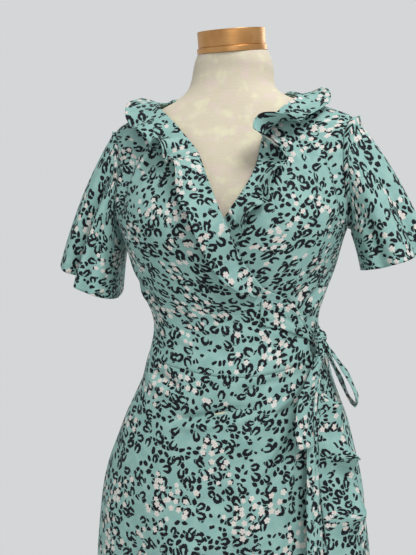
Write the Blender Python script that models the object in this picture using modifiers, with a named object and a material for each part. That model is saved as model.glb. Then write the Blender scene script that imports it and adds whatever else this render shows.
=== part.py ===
"""A wrap dress on a limbless dress form, on a pole and a round base.

Metres, +Z up, origin at the middle of the base's underside. The front faces -Y, and the
wearer's left side, where the dress is tied, is at +X. Angles go round the body: 0 is the
front, 90 the wearer's left (+X) and 180 the back.
"""

import math

import bpy
import numpy as np
from mathutils import Matrix, Vector
from mathutils.bvhtree import BVHTree

# ---------------------------------------------------------------- driving dimensions
WALL = 0.0012  # cloth, as a solid wall
SEAM_GAP = 0.0006  # between the middles of two walls that are sewn together, 0.3 mm at the inside
OVER = 0.0042  # how far the right front lies outside the left front
EASE = 0.0042  # least distance from the dress form to the middle of the cloth
SHOULDER_EASE = 0.0030  # the same where the dress rests on the shoulders
RESTING_Z = (1.300, 1.350)  # the ease changes from one to the other between these heights
SOFTNESS = 0.003  # of the change from cloth that hangs free to cloth that rests

SHOULDER_Z = 1.373  # outer end of the shoulder seam
NECK_SIDE_Z = 1.418  # inner end of the shoulder seam
UNDERARM_Z = 1.198
ARMHOLE_HALF_DEG = 15.0  # half of the armhole's width, round the body
HEM_Z = 0.490
COLUMN_DEG = 6  # width of a strip of the skirt, half that of the bodice's at the waist seam
WRAP_EDGE_DEG = 66  # front edge of the right skirt front, at the waist seam
WRAP_EDGE = ((0.000, 66.0), (0.050, 63.0), (0.100, 59.0), (0.160, 57.0))  # and this far below it
UNDER_EDGE_DEG = -54  # front edge of the left skirt front

FORM_BOTTOM_Z = 0.740
NECK_TOP_Z = 1.490
NECK_TILT = math.radians(15)  # the neck's flat top leans forwards by this
NECK_TILT_FROM_Z = 1.450
NECK_ASIDE = 0.006  # the neck leans to the wearer's left by this
NECK_ASIDE_FROM_TO = (1.415, 1.470)

CAP_RADIUS = 0.0550
CAP_RING_RADIUS = 0.0572
CAP_RING_HEIGHT = 0.0085
CAP_HEIGHT = 0.0345
CAP_GROOVE = 0.0012
CAP_ROUND = 0.0015
SEAT = 0.0003  # between parts that stand on one another

POLE_RADIUS = 0.0125
COLLAR_RADIUS = 0.030
COLLAR_HEIGHT = 0.045
BASE_RADIUS = 0.190
BASE_RIM = 0.008
BASE_CROWN = 0.022
BASE_BOSS = 0.022

# Each row is one level section of the dress form.
FORM_COLUMNS = ("height", "half_width", "front", "back")
FORM_SECTIONS = (
    (0.740, 0.166, 0.100, 0.122),
    (0.800, 0.175, 0.106, 0.130),
    (0.860, 0.178, 0.110, 0.132),
    (0.920, 0.163, 0.106, 0.118),
    (0.980, 0.142, 0.096, 0.101),
    (1.040, 0.126, 0.086, 0.086),
    (1.100, 0.134, 0.090, 0.092),
    (1.160, 0.147, 0.098, 0.101),
    (1.215, 0.156, 0.102, 0.107),
    (1.270, 0.166, 0.098, 0.109),
    (1.315, 0.175, 0.089, 0.105),
    (1.345, 0.182, 0.080, 0.098),
    (1.362, 0.184, 0.074, 0.092),
    (1.375, 0.177, 0.070, 0.087),
    (1.388, 0.156, 0.066, 0.082),
    (1.401, 0.125, 0.063, 0.077),
    (1.414, 0.095, 0.060, 0.071),
    (1.430, 0.0745, 0.0575, 0.065),
    (1.445, 0.0685, 0.0555, 0.060),
    (1.465, 0.0656, 0.0545, 0.058),
    (1.478, 0.0622, 0.0535, 0.056),
    (1.490, 0.0565, 0.0525, 0.0535),
)
# Each row is one level section of the dress where it hangs free.
DRESS_SECTIONS = (
    (0.480, 0.236, 0.160, 0.172),
    (0.560, 0.231, 0.153, 0.166),
    (0.640, 0.225, 0.145, 0.160),
    (0.710, 0.2205, 0.137, 0.154),
    (0.762, 0.216, 0.131, 0.149),
    (0.817, 0.2055, 0.125, 0.144),
    (0.862, 0.193, 0.120, 0.139),
    (0.901, 0.180, 0.116, 0.130),
    (0.929, 0.168, 0.112, 0.120),
    (0.962, 0.155, 0.107, 0.109),
    (0.991, 0.1475, 0.102, 0.100),
    (1.014, 0.1395, 0.097, 0.094),
    (1.050, 0.1335, 0.093, 0.091),
    (1.093, 0.146, 0.099, 0.097),
    (1.142, 0.164, 0.106, 0.104),
    (1.180, 0.177, 0.109, 0.109),
    (1.215, 0.191, 0.109, 0.112),
    (1.255, 0.198, 0.104, 0.112),
    (1.300, 0.201, 0.095, 0.109),
    (1.340, 0.202, 0.083, 0.100),
    (1.362, 0.201, 0.075, 0.092),
    (1.376, 0.193, 0.070, 0.086),
    (1.390, 0.160, 0.064, 0.079),
    (1.414, 0.090, 0.056, 0.066),
    (1.500, 0.050, 0.046, 0.047),
)
SECTION_POWER = 2.15  # 2 is an ellipse, more is squarer
NECK_LEAN = ((1.400, 0.0), (1.430, -0.002), (1.465, -0.009), (1.500, -0.018))

# How far the skirt hangs to the wearer's left, by height: it swings out over the right hip.
HIP_SHIFT = ((0.480, -0.013), (0.800, -0.013), (0.880, -0.008), (0.960, 0.0))

# The bust's two swells, on the form and in the cloth over it.
BUST_COLUMNS = ("swell", "height", "side", "wide", "up", "down")
FORM_BUST = (0.029, 1.212, 0.085, 0.042, 0.055, 0.042)
DRESS_BUST = (0.034, 1.212, 0.085, 0.055, 0.066, 0.062)

# Paths on the dress, as (degrees, height).
NECKLINE_RIGHT = (  # the right front's edge, from the shoulder seam to the waist seam
    (-90, 1.418), (-72, 1.403), (-37, 1.347), (-20, 1.313), (-8, 1.266), (3, 1.212),
    (14.5, 1.152), (30, 1.108), (48, 1.090), (60, 1.066), (66, 1.040), (66, 1.000),
)
NECKLINE_LEFT = (  # the left front's edge, from the shoulder seam to the waist seam
    (90, 1.418), (70, 1.402), (44, 1.362), (33, 1.325), (25, 1.284), (15, 1.248),
    (3, 1.212), (-14, 1.165), (-34, 1.120), (-48, 1.072), (-54, 1.030), (-54, 0.991),
)
BACK_NECK = ((-90, 1.418), (-135, 1.424), (-180, 1.427), (-225, 1.424), (-270, 1.418))
WAIST_SEAM = (
    (-90, 1.010), (-60, 0.993), (-35, 0.982), (0, 0.972), (25, 0.973), (50, 0.984),
    (70, 1.001), (90, 1.010), (180, 1.012), (270, 1.010),
)

# Ridges and troughs, each from one place to another. Those that end at the hem run off it.
FOLD_COLUMNS = ("from_deg", "from_z", "to_deg", "to_z", "half_width", "depth")
SKIRT_FOLDS = (
    (64, 0.975, -60, 0.880, 0.017, -0.0055),
    (64, 0.965, 4, 0.850, 0.016, 0.0065),
    (62, 0.955, -14, 0.800, 0.017, -0.0070),
    (62, 0.930, 8, 0.720, 0.018, 0.0080),
    (60, 0.900, 30, 0.490, 0.020, -0.0120),
    (4, 0.740, 0, 0.490, 0.024, -0.0100),
    (-24, 0.790, -28, 0.490, 0.024, 0.0100),
    (-52, 0.800, -55, 0.490, 0.024, -0.0090),
    (102, 0.850, 102, 0.490, 0.022, 0.0080),
    (124, 0.830, 126, 0.490, 0.022, -0.0100),
    (148, 0.870, 151, 0.490, 0.024, 0.0110),
    (176, 0.840, 177, 0.490, 0.022, -0.0090),
    (203, 0.880, 200, 0.490, 0.025, 0.0120),
    (229, 0.830, 232, 0.490, 0.022, -0.0090),
    (254, 0.850, 256, 0.490, 0.022, 0.0080),
)
BODICE_FOLDS = (
    (62, 1.050, 40, 1.150, 0.015, 0.0030),
    (-76, 1.050, -30, 1.010, 0.014, 0.0030),
    (-70, 1.075, -48, 1.150, 0.015, -0.0025),
    (62, 1.372, 68, 1.235, 0.015, -0.0030),
    (-60, 1.376, -66, 1.235, 0.015, -0.0030),
    (246, 1.060, 205, 1.120, 0.016, 0.0035),
    (112, 1.060, 150, 1.125, 0.016, 0.0035),
)
SIDE_FADE_DEG = (3.0, 18.0)  # folds die out towards the side seams
WAIST_FADE = (0.004, 0.045)  # and towards the waist seam

# Sizes of the two sleeves' hems, and the folds round each: 0 is outermost and 90 the front.
SLEEVE_COLUMNS = ("side", "out", "half_out", "front", "back", "z", "z_out", "z_back")
RIGHT_SLEEVE = (-1, 0.248, 0.045, 0.080, 0.082, 1.126, 0.032, 0.012)
LEFT_SLEEVE = (1, 0.258, 0.052, 0.078, 0.082, 1.148, 0.015, 0.010)
SLEEVE_FOLD_COLUMNS = ("degrees", "half_width", "share")
RIGHT_SLEEVE_FOLDS = ((68, 17, -0.48), (102, 20, 0.16), (150, 20, 0.10), (-40, 20, 0.10), (-84, 20, -0.12))
LEFT_SLEEVE_FOLDS = ((48, 16, -0.20), (86, 22, 0.14), (150, 20, 0.10), (-40, 20, 0.12), (-84, 20, -0.14))
SLEEVE_SWING = 0.62  # how soon the cloth is over its hem
SLEEVE_DROP = 0.40  # and how little it has fallen by then
SLEEVE_ROWS = 5
SLEEVE_STAND = 0.0050  # how far the gathered cap stands out before it falls
SLEEVE_CLEAR = 0.0046

SIDE_ROWS = 5
ARMHOLE_ROWS = 11
SHOULDER_ROWS = 3
SKIRT_ROWS = 8

# The ruffle's run, from the right front's waist up and round the neck, by angle.
RUFFLE_COLUMNS = ("degrees", "width", "stand", "sway")
RUFFLE_SIZES = (
    (26, 0.012, 0.006, -0.004),
    (10, 0.036, 0.013, -0.002),
    (-20, 0.046, 0.012, 0.0),
    (-60, 0.052, 0.013, 0.0),
    (-90, 0.060, 0.034, 0.0),
    (-135, 0.050, 0.012, 0.0),
    (-225, 0.050, 0.012, 0.0),
    (-270, 0.058, 0.032, 0.0),
    (-300, 0.050, 0.012, 0.0),
    (-335, 0.046, 0.011, 0.002),
    (-354, 0.042, 0.010, 0.010),
)
RUFFLE_BASE = 0.0019  # the sewn edge, over the middle of the cloth under it
RUFFLE_CLEAR = 0.0040
RUFFLE_GAP = 0.0019
RUFFLE_WAVE = 0.066
RUFFLE_CURL = 0.0055
RUFFLE_STEP = 0.0135
RUFFLE_RINGS = 3

FLOUNCE_TOP_Z = 0.950
FLOUNCE_WIDTHS = ((0.490, 0.060), (0.680, 0.062), (0.725, 0.050), (0.800, 0.064), (0.860, 0.052), (0.925, 0.030), (0.950, 0.014))
FLOUNCE_STAND = 0.016
FLOUNCE_WAVE = 0.095
FLOUNCE_CURL = 0.010
FLOUNCE_STEPS = 28

# The ties, as (degrees, height, half width), lying on the bodice.
TIE_COLUMNS = ("degrees", "height", "half_width")
FRONT_TIE = ((30, 1.070, 0.021), (44, 1.064, 0.020), (58, 1.048, 0.016), (70, 1.028, 0.010))
BACK_TIE = (
    (264, 1.036, 0.013), (240, 1.038, 0.013), (210, 1.040, 0.014), (180, 1.040, 0.014),
    (150, 1.039, 0.014), (120, 1.036, 0.013), (96, 1.030, 0.012), (80, 1.026, 0.010),
)
LAID_GAP = 0.0023  # between the middles of two walls that lie on one another

KNOT_PLACE = (69.5, 1.024)
KNOT_LIFT = 0.0200
KNOT_HALF = (0.0135, 0.0095, 0.0125)  # round the body, outwards, up

# What hangs from the knot: where its middle is on the skirt, how far off the cloth, and how wide.
HANGING_COLUMNS = ("degrees", "height", "gap", "half_width")
LONG_LOOP = (
    (68.0, 1.010, 0.020, 0.0060), (59.0, 0.983, 0.023, 0.013), (50.0, 0.935, 0.025, 0.017),
    (48.0, 0.895, 0.025, 0.017), (48.5, 0.872, 0.022, 0.016), (48.5, 0.872, 0.018, 0.016),
    (48.5, 0.895, 0.015, 0.016), (50.5, 0.935, 0.015, 0.015), (60.0, 0.983, 0.0145, 0.011),
    (68.0, 1.010, 0.013, 0.0060),
)
SHORT_LOOP = (
    (73.0, 1.012, 0.019, 0.0050), (77.0, 0.986, 0.021, 0.011), (82.0, 0.950, 0.021, 0.014),
    (85.5, 0.925, 0.017, 0.014), (86.0, 0.916, 0.011, 0.013), (85.0, 0.925, 0.007, 0.013),
    (82.0, 0.950, 0.006, 0.013), (77.5, 0.986, 0.008, 0.010), (73.0, 1.012, 0.013, 0.0050),
)
FRONT_TAIL = (
    (69.5, 1.010, 0.0095, 0.004), (61.0, 0.965, 0.0058, 0.009), (53.5, 0.870, 0.0052, 0.010),
    (50.5, 0.780, 0.0050, 0.011), (48.5, 0.700, 0.0050, 0.013), (47.0, 0.640, 0.0050, 0.014),
)
BACK_TAIL = (
    (71.0, 1.010, 0.0085, 0.004), (64.5, 0.965, 0.0025, 0.007), (55.5, 0.870, 0.0018, 0.008),
    (53.0, 0.780, 0.0016, 0.009), (51.5, 0.700, 0.0016, 0.011), (50.5, 0.580, 0.0016, 0.013),
)
# Where each end meets the knot's underside: round the body and outwards from its middle.
KNOT_ENDS = {
    "bow_long_loop": ((-0.004, 0.0055), (-0.005, 0.0010)),
    "bow_short_loop": ((0.007, 0.0045), (0.0075, 0.0005)),
    "tail_front": ((-0.001, -0.0030),),
    "tail_back": ((0.004, -0.0062),),
}
HANGING_ROWS = 15
HANGING_GAP = 0.0028
BACK_TIE_GAP = 0.0019
RIDGES = 0.0055  # what hangs lies on the ridges of the skirt's folds

FORM_STEPS = 44
ROUND_STEPS = 48

COLOURS = {  # colour, roughness, metallic
    "crepe": ((0.33, 0.55, 0.51), 0.75, 0.0),
    "canvas": ((0.78, 0.72, 0.60), 0.80, 0.0),
    "copper": ((0.72, 0.42, 0.26), 0.32, 1.0),
    "steel": ((0.62, 0.62, 0.60), 0.35, 1.0),
}


TREES = {}  # the middle of each piece of cloth made so far, to lay others on


# ---------------------------------------------------------------- curves
def smooth(x, knots, values):
    """A cubic curve through the values at the knots, level beyond both ends."""
    knots = np.asarray(knots, float)
    values = np.asarray(values, float)
    x = np.clip(x, knots[0], knots[-1])
    slopes = np.gradient(values, knots)
    i = np.clip(np.searchsorted(knots, x) - 1, 0, len(knots) - 2)
    step = knots[i + 1] - knots[i]
    t = (x - knots[i]) / step
    return (
        (2 * t**3 - 3 * t**2 + 1) * values[i]
        + (t**3 - 2 * t**2 + t) * step * slopes[i]
        + (3 * t**2 - 2 * t**3) * values[i + 1]
        + (t**3 - t**2) * step * slopes[i + 1]
    )


def ease_in(x, low, high):
    """0 up to low, 1 from high on, and smooth between."""
    t = np.clip((x - low) / (high - low), 0.0, 1.0)
    return t * t * (3 - 2 * t)


def along_path(path, t):
    """Places at shares t of the length of a path on the dress."""
    points = np.array(path, float)
    points[:, 0] = np.radians(points[:, 0])
    lengths = np.hypot(np.diff(points[:, 0]) * 0.12, np.diff(points[:, 1]))
    shares = np.concatenate([[0], np.cumsum(lengths)]) / lengths.sum()
    return np.stack([smooth(t, shares, points[:, k]) for k in (0, 1)], axis=-1)


# ---------------------------------------------------------------- form and dress surfaces
def centre_y(z):
    return smooth(z, *zip(*NECK_LEAN))


def section_radius(angle, z, sections):
    heights, widths, fronts, backs = zip(*sections)
    width = smooth(z, heights, widths)
    front = smooth(z, heights, fronts)
    back = smooth(z, heights, backs)
    depth = np.where(np.cos(angle) > 0, front, back)
    across = (np.abs(np.sin(angle)) / width) ** SECTION_POWER
    along = (np.abs(np.cos(angle)) / depth) ** SECTION_POWER
    return (across + along) ** (-1 / SECTION_POWER)


def with_bust(angle, z, radius, bust):
    swell, height, side, wide, up, down = bust
    x = radius * np.sin(angle)
    reach = np.where(z > height, up, down)
    level = np.exp(-0.5 * ((z - height) / reach) ** 2)
    both = sum(np.exp(-0.5 * ((x - place) / wide) ** 2) for place in (-side, side))
    return radius + swell * both * level * ease_in(np.cos(angle), 0.0, 0.55)


def form_radius(angle, z):
    return with_bust(angle, z, section_radius(angle, z, FORM_SECTIONS), FORM_BUST)


def dress_radius(angle, z):
    """Middle of the cloth: where it hangs free, or just outside the form where it rests."""
    free = with_bust(angle, z, section_radius(angle, z, DRESS_SECTIONS), DRESS_BUST)
    free = free + smooth(z, *zip(*HIP_SHIFT)) * np.sin(angle)
    bare = form_radius(angle, z)
    step = 1e-4
    slope = (form_radius(angle, z + step) - form_radius(angle, z - step)) / (2 * step)
    ease = EASE + (SHOULDER_EASE - EASE) * ease_in(z, *RESTING_Z)
    rest = bare + ease * np.sqrt(1 + slope**2)
    return (free + rest + np.sqrt((free - rest) ** 2 + SOFTNESS**2)) / 2


def at(angle, z, radius):
    x = radius * np.sin(angle)
    y = centre_y(z) - radius * np.cos(angle)
    return np.stack([x, y, z + 0 * x], axis=-1)


def outward(angle, z):
    """The dress surface's unit normal."""
    step = 2e-4
    ahead = at(angle + step, z, dress_radius(angle + step, z))
    behind = at(angle - step, z, dress_radius(angle - step, z))
    above = at(angle, z + step, dress_radius(angle, z + step))
    below = at(angle, z - step, dress_radius(angle, z - step))
    normal = np.cross(ahead - behind, above - below)
    return normal / np.linalg.norm(normal, axis=-1, keepdims=True)


def on_dress(places, height):
    """Points at (angle, z) places of the dress's surface, raised by height along its normal."""
    angle = places[..., 0]
    z = places[..., 1]
    return at(angle, z, dress_radius(angle, z)) + outward(angle, z) * height[..., None]


def front_degrees(angle):
    """Degrees round the body, from -90 to 270."""
    return (np.degrees(angle) + 90.0) % 360.0 - 90.0


def seam_z(angle):
    return smooth(front_degrees(angle), *zip(*WAIST_SEAM))


def fold_sum(angle, z, folds):
    degrees = front_degrees(angle)
    reach = 0.17  # metres a radian, near enough all the way down
    total = np.zeros(np.broadcast(angle, z).shape)
    for from_deg, from_z, to_deg, to_z, half_width, depth in folds:
        across = np.radians(degrees - from_deg) * reach
        along = z - from_z
        run_across = math.radians(to_deg - from_deg) * reach
        run_along = to_z - from_z
        length = math.hypot(run_across, run_along)
        share = (across * run_across + along * run_along) / length**2
        off = (across * run_along - along * run_across) / length
        fade = ease_in(share, -0.05, 0.35)
        if to_z > HEM_Z:
            fade = fade * (1 - ease_in(share, 0.75, 1.15))
        spread = half_width * np.clip(0.75 + 0.5 * share, 0.75, 1.25)
        total = total + depth * np.exp(-0.5 * (off / spread) ** 2) * fade
    return total


def folds(angle, z):
    """Height of the folds at a place, nothing at the side seams and the waist seam."""
    degrees = front_degrees(angle)
    from_side = np.minimum(np.abs(degrees + 90), np.abs(degrees - 90))
    from_side = np.minimum(from_side, np.abs(degrees - 270))
    from_waist = z - seam_z(angle)
    skirt = fold_sum(angle, z, SKIRT_FOLDS) * ease_in(-from_waist, *WAIST_FADE)
    bodice = fold_sum(angle, z, BODICE_FOLDS) * ease_in(from_waist, *WAIST_FADE)
    return (skirt + bodice) * ease_in(from_side, *SIDE_FADE_DEG)


def under_lift(places):
    return folds(places[..., 0], places[..., 1])


def over_lift(places):
    """The right front lies outside the left front, and meets the back at its own side seam."""
    out = OVER * ease_in(front_degrees(places[..., 0]), -88.0, -68.0)
    return out + under_lift(places)


def clear_of_dress(points, gap, lift=over_lift):
    """The points, moved out where they lie less than gap above the cloth."""
    points = points.copy()
    for _ in range(5):
        z = points[..., 2]
        middle = centre_y(z)
        angle = np.arctan2(points[..., 0], middle - points[..., 1])
        radius = np.hypot(points[..., 0], points[..., 1] - middle)
        normal = outward(angle, z)
        radial = np.stack([np.sin(angle), -np.cos(angle), 0 * angle], axis=-1)
        away = (radius - dress_radius(angle, z)) * (normal * radial).sum(-1)
        least = lift(np.stack([angle, z], axis=-1)) + gap
        points += normal * np.maximum(least - away, 0)[..., None]
    return points


# ---------------------------------------------------------------- pieces of cloth
def cloth(name, points, closed=False):
    """A wall of cloth on a grid of points, closed into a tube along its rows if asked."""
    rows, columns = points.shape[:2]
    faces = []
    for i in range(rows - 1):
        for j in range(columns if closed else columns - 1):
            a = i * columns + j
            b = i * columns + (j + 1) % columns
            faces.append((a, b, b + columns))
            faces.append((a, b + columns, a + columns))
    vertices = points.reshape(-1, 3).tolist()
    mesh = bpy.data.meshes.new(name)
    mesh.from_pydata(vertices, [], faces)
    TREES[name] = BVHTree.FromPolygons(vertices, faces)
    piece = add_object(name, mesh, "crepe")
    wall = piece.modifiers.new("wall", "SOLIDIFY")
    wall.thickness = WALL
    wall.offset = 0.0
    wall.use_even_offset = True
    wall.use_quality_normals = True
    return piece


def laid_on(points, names, gap=LAID_GAP):
    """The points, moved out where they lie less than gap over the named pieces."""
    laid = points.reshape(-1, 3).copy()
    for _ in range(4):
        for name in names:
            for k, point in enumerate(laid):
                near, normal, _, away = TREES[name].find_nearest(Vector(point), 4 * gap)
                if near is None:
                    continue
                out = Vector((point[0], point[1] - centre_y(point[2]), 0.0))
                if normal.dot(out) < 0:
                    normal = -normal
                height = (Vector(point) - near).dot(normal)
                if height < gap:
                    laid[k] += np.array(normal) * (gap - height)
    return laid.reshape(points.shape)


def unit(vectors):
    return vectors / np.linalg.norm(vectors, axis=-1, keepdims=True)


def pulled_in(points, edges, distance=SEAM_GAP / 2):
    """The grid with its sewn edges, by name, moved inwards square to themselves."""
    points = points.copy()
    sides = {
        "first_row": (points[0], points[1]),
        "last_row": (points[-1], points[-2]),
        "first_column": (points[:, 0], points[:, 1]),
        "last_column": (points[:, -1], points[:, -2]),
    }
    for edge in edges:
        line, inner = sides[edge]
        tangent = unit(np.gradient(line, axis=0))
        inwards = inner - line
        inwards = inwards - tangent * (inwards * tangent).sum(-1, keepdims=True)
        line += unit(inwards) * distance
    return points


def patch(left, right, bottom, top):
    """Places between four edges that meet at their ends."""
    u = np.linspace(0, 1, len(bottom))[None, :, None]
    v = np.linspace(0, 1, len(left))[:, None, None]
    sides = left[:, None] * (1 - u) + right[:, None] * u
    ends = bottom[None] * (1 - v) + top[None] * v
    lower = left[0] * (1 - u) + right[0] * u
    upper = left[-1] * (1 - u) + right[-1] * u
    return sides + ends - lower * (1 - v) - upper * v


def armhole(side, half):
    """Places on an armhole, from the underarm to the shoulder seam. half is 1 for its front."""
    t = np.linspace(0, 1, ARMHOLE_ROWS + 1)
    bulge = ARMHOLE_HALF_DEG * np.sin(np.pi * t) ** 0.75
    z = UNDERARM_Z + (SHOULDER_Z - UNDERARM_Z) * (1 - np.cos(np.pi * t)) / 2
    return np.stack([np.radians(side * (90 - half * bulge)), z], axis=-1)


def side_edge(side, half):
    """Places up the side seam and on round the armhole."""
    angle = math.radians(side * 90)
    seam = np.linspace(float(seam_z(angle)), UNDERARM_Z, SIDE_ROWS + 1)
    below = np.stack([np.full_like(seam, angle), seam], axis=-1)
    return np.concatenate([below[:-1], armhole(side, half)])


def waist_edge(from_deg, to_deg, steps):
    angle = np.radians(np.linspace(from_deg, to_deg, steps + 1))
    return np.stack([angle, seam_z(angle)], axis=-1)


def front_bodice(name, side, neckline, edge_deg, steps, lift):
    outer = side_edge(side, 1)
    inner = along_path(neckline, np.linspace(1, 0, len(outer)))
    waist = waist_edge(side * 90, edge_deg, steps)
    inner[0] = waist[-1]
    t = np.linspace(0, 1, steps + 1)[:, None]
    shoulder = outer[-1] * (1 - t) + inner[-1] * t
    places = patch(outer, inner, waist, shoulder)
    points = on_dress(places, lift(places))
    points[-1] = shoulder_line(side, t[:, 0])
    return cloth(name, pulled_in(points, ("first_row", "last_row", "first_column")))


def shoulder_line(side, t):
    """Points along a shoulder seam, on the straight steps that both its pieces share."""
    z = np.linspace(SHOULDER_Z, NECK_SIDE_Z, SHOULDER_ROWS + 1)
    places = np.stack([np.full_like(z, math.radians(side * 90)), z], axis=-1)
    steps = on_dress(places, under_lift(places))
    shares = np.linspace(0, 1, len(z))
    return np.stack([np.interp(t, shares, steps[:, k]) for k in range(3)], axis=-1)


def back_bodice(steps):
    left = side_edge(1, -1)
    rise = np.linspace(SHOULDER_Z, NECK_SIDE_Z, SHOULDER_ROWS + 1)[1:]
    left = np.concatenate([left, np.stack([np.full_like(rise, math.pi / 2), rise], axis=-1)])
    right = left * (-1, 1) + (2 * math.pi, 0)
    neck = along_path(BACK_NECK, np.linspace(1, 0, steps + 1)) + (2 * math.pi, 0)
    places = patch(left, right, waist_edge(90, 270, steps), neck)
    points = on_dress(places, under_lift(places))
    return cloth("bodice_back", pulled_in(points, ("first_row", "first_column", "last_column")))


def wrap_edge(below):
    """Degrees round the body of the right skirt front's edge, by distance below the waist seam."""
    return smooth(below, *zip(*WRAP_EDGE))


def skirt_angle(columns, z):
    """Angles of the skirt's columns, which run down the edge of the right front."""
    edge = wrap_edge(seam_z(np.radians(columns)) - z)
    within = (columns + 90) * (edge + 90) / (WRAP_EDGE_DEG + 90) - 90
    beyond = edge + (columns - WRAP_EDGE_DEG) * (90 - edge) / (90 - WRAP_EDGE_DEG)
    front = np.where(columns <= WRAP_EDGE_DEG, within, beyond)
    return np.radians(np.where(columns <= 90, front, columns))


def skirt(name, from_deg, to_deg, lift, sewn):
    columns = np.arange(from_deg, to_deg + 1, COLUMN_DEG).astype(float)
    v = np.linspace(0, 1, SKIRT_ROWS + 1)[:, None]
    z = seam_z(np.radians(columns)) * (1 - v) + HEM_Z * v
    places = np.stack([skirt_angle(columns, z), z], axis=-1)
    points = on_dress(places, lift(places))
    points[0, 1::2] = (points[0, :-1:2] + points[0, 2::2]) / 2
    return cloth(name, pulled_in(points, ("first_row",) + sewn))


def sleeve(name, sizes, sleeve_folds):
    side, out, half_out, front, back, hem_z, z_out, z_back = sizes
    front_lift = over_lift if side < 0 else under_lift
    front_places = armhole(side, 1)
    back_places = armhole(side, -1)[1:-1][::-1]
    lifts = np.concatenate([front_lift(front_places), under_lift(back_places)])
    places = np.concatenate([front_places, back_places])
    ring = on_dress(places, lifts)
    tangent = unit(np.roll(ring, -1, axis=0) - np.roll(ring, 1, axis=0))
    inwards = unit(np.cross(tangent, outward(places[:, 0], places[:, 1]))) * side
    inwards *= np.sign((inwards * (ring.mean(0) - ring)).sum(-1, keepdims=True))
    start = ring + inwards * (SEAM_GAP + WALL / 2)
    turn = np.concatenate(
        [np.linspace(180, 0, ARMHOLE_ROWS + 1), -np.linspace(0, 180, ARMHOLE_ROWS + 1)[1:-1]]
    )
    reach = np.ones_like(turn)
    for degrees, half_width, share in sleeve_folds:
        reach = reach + share * np.exp(-0.5 * ((turn - degrees) / half_width) ** 2)
    phi = np.radians(turn)
    hem = np.stack(
        [
            side * (out + half_out * reach * np.cos(phi)),
            -np.where(phi > 0, front, back) * reach * np.sin(phi),
            hem_z + z_out * np.cos(phi) - z_back * np.sin(phi),
        ],
        axis=-1,
    )
    stood = start + outward(places[:, 0], places[:, 1]) * SLEEVE_STAND
    bend = stood + (hem - stood) * (SLEEVE_SWING, SLEEVE_SWING, SLEEVE_DROP)
    t = np.linspace(0, 1, SLEEVE_ROWS + 1)[:, None, None]
    points = stood * (1 - t) ** 2 + bend * 2 * t * (1 - t) + hem * t**2
    points[1:] = clear_of_dress(points[1:], SLEEVE_CLEAR)
    return cloth(name, np.concatenate([start[None], points]), closed=True)


# ---------------------------------------------------------------- ruffles
def ruffle_path():
    """The run of the neck's ruffle as (degrees, height), its angle falling all the way."""
    right = [place for place in NECKLINE_RIGHT if place[0] <= 30][::-1]
    left = [(degrees - 360, z) for degrees, z in NECKLINE_LEFT if degrees >= 3]
    return right + list(BACK_NECK[1:-1]) + left


def ruffle_points():
    """The whole ruffle as a grid, with the angle at each place along its sewn edge."""
    dense = along_path(ruffle_path(), np.linspace(0, 1, 1200))
    limits = (RUFFLE_SIZES[0][0], RUFFLE_SIZES[-1][0])
    keep = (np.degrees(dense[:, 0]) <= limits[0]) & (np.degrees(dense[:, 0]) >= limits[1])
    dense = dense[keep]
    line = on_dress(dense, over_lift(dense) + RUFFLE_BASE)
    lengths = np.concatenate([[0], np.cumsum(np.linalg.norm(np.diff(line, axis=0), axis=1))])
    s = np.linspace(0, lengths[-1], int(lengths[-1] / RUFFLE_STEP) + 1)
    places = np.stack([np.interp(s, lengths, dense[:, k]) for k in (0, 1)], axis=-1)
    base_lift = np.where(places[:, 0] > math.radians(-89.9), over_lift(places), under_lift(places))
    base = on_dress(places, base_lift + RUFFLE_BASE)
    degrees = np.degrees(places[:, 0])
    sizes = np.array(RUFFLE_SIZES, float)[::-1]
    width, stand, sway = [smooth(degrees, sizes[:, 0], sizes[:, k]) for k in (1, 2, 3)]
    tangent = unit(np.gradient(base, axis=0))
    normal = outward(places[:, 0], places[:, 1])
    across = unit(np.cross(normal, tangent))
    phase = 2 * np.pi * (s / RUFFLE_WAVE + 0.35 * np.sin(s * 9.0) + 0.2 * np.sin(s * 23.0))
    rows = []
    for ring in range(RUFFLE_RINGS + 1):
        share = ring / RUFFLE_RINGS
        out = share * width * 0.92
        up = share * stand * (0.75 + 0.65 * np.sin(phase))
        slide = share * (RUFFLE_CURL * np.cos(phase) + sway)
        rows.append(
            base + across * out[:, None] + normal * up[:, None] + tangent * slide[:, None]
        )
    grid = np.stack(rows)
    grid[1:] = clear_of_dress(grid[1:], RUFFLE_CLEAR)
    return laid_on(grid, ("bodice_right_front", "bodice_left_front", "bodice_back"), RUFFLE_GAP), degrees


def neck_ruffles():
    """The ruffle in three lengths, parted at the shoulder seams."""
    grid, degrees = ruffle_points()
    first = int(np.argmin(np.abs(degrees + 90)))
    second = int(np.argmin(np.abs(degrees + 270)))
    lengths = (
        ("ruffle_right_front", grid[:, : first + 1], ("last_column",)),
        ("ruffle_back_neck", grid[:, first : second + 1], ("first_column", "last_column")),
        ("ruffle_left_front", grid[:, second:], ("first_column",)),
    )
    for name, points, sewn in lengths:
        cloth(name, pulled_in(points, sewn, SEAM_GAP))


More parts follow.
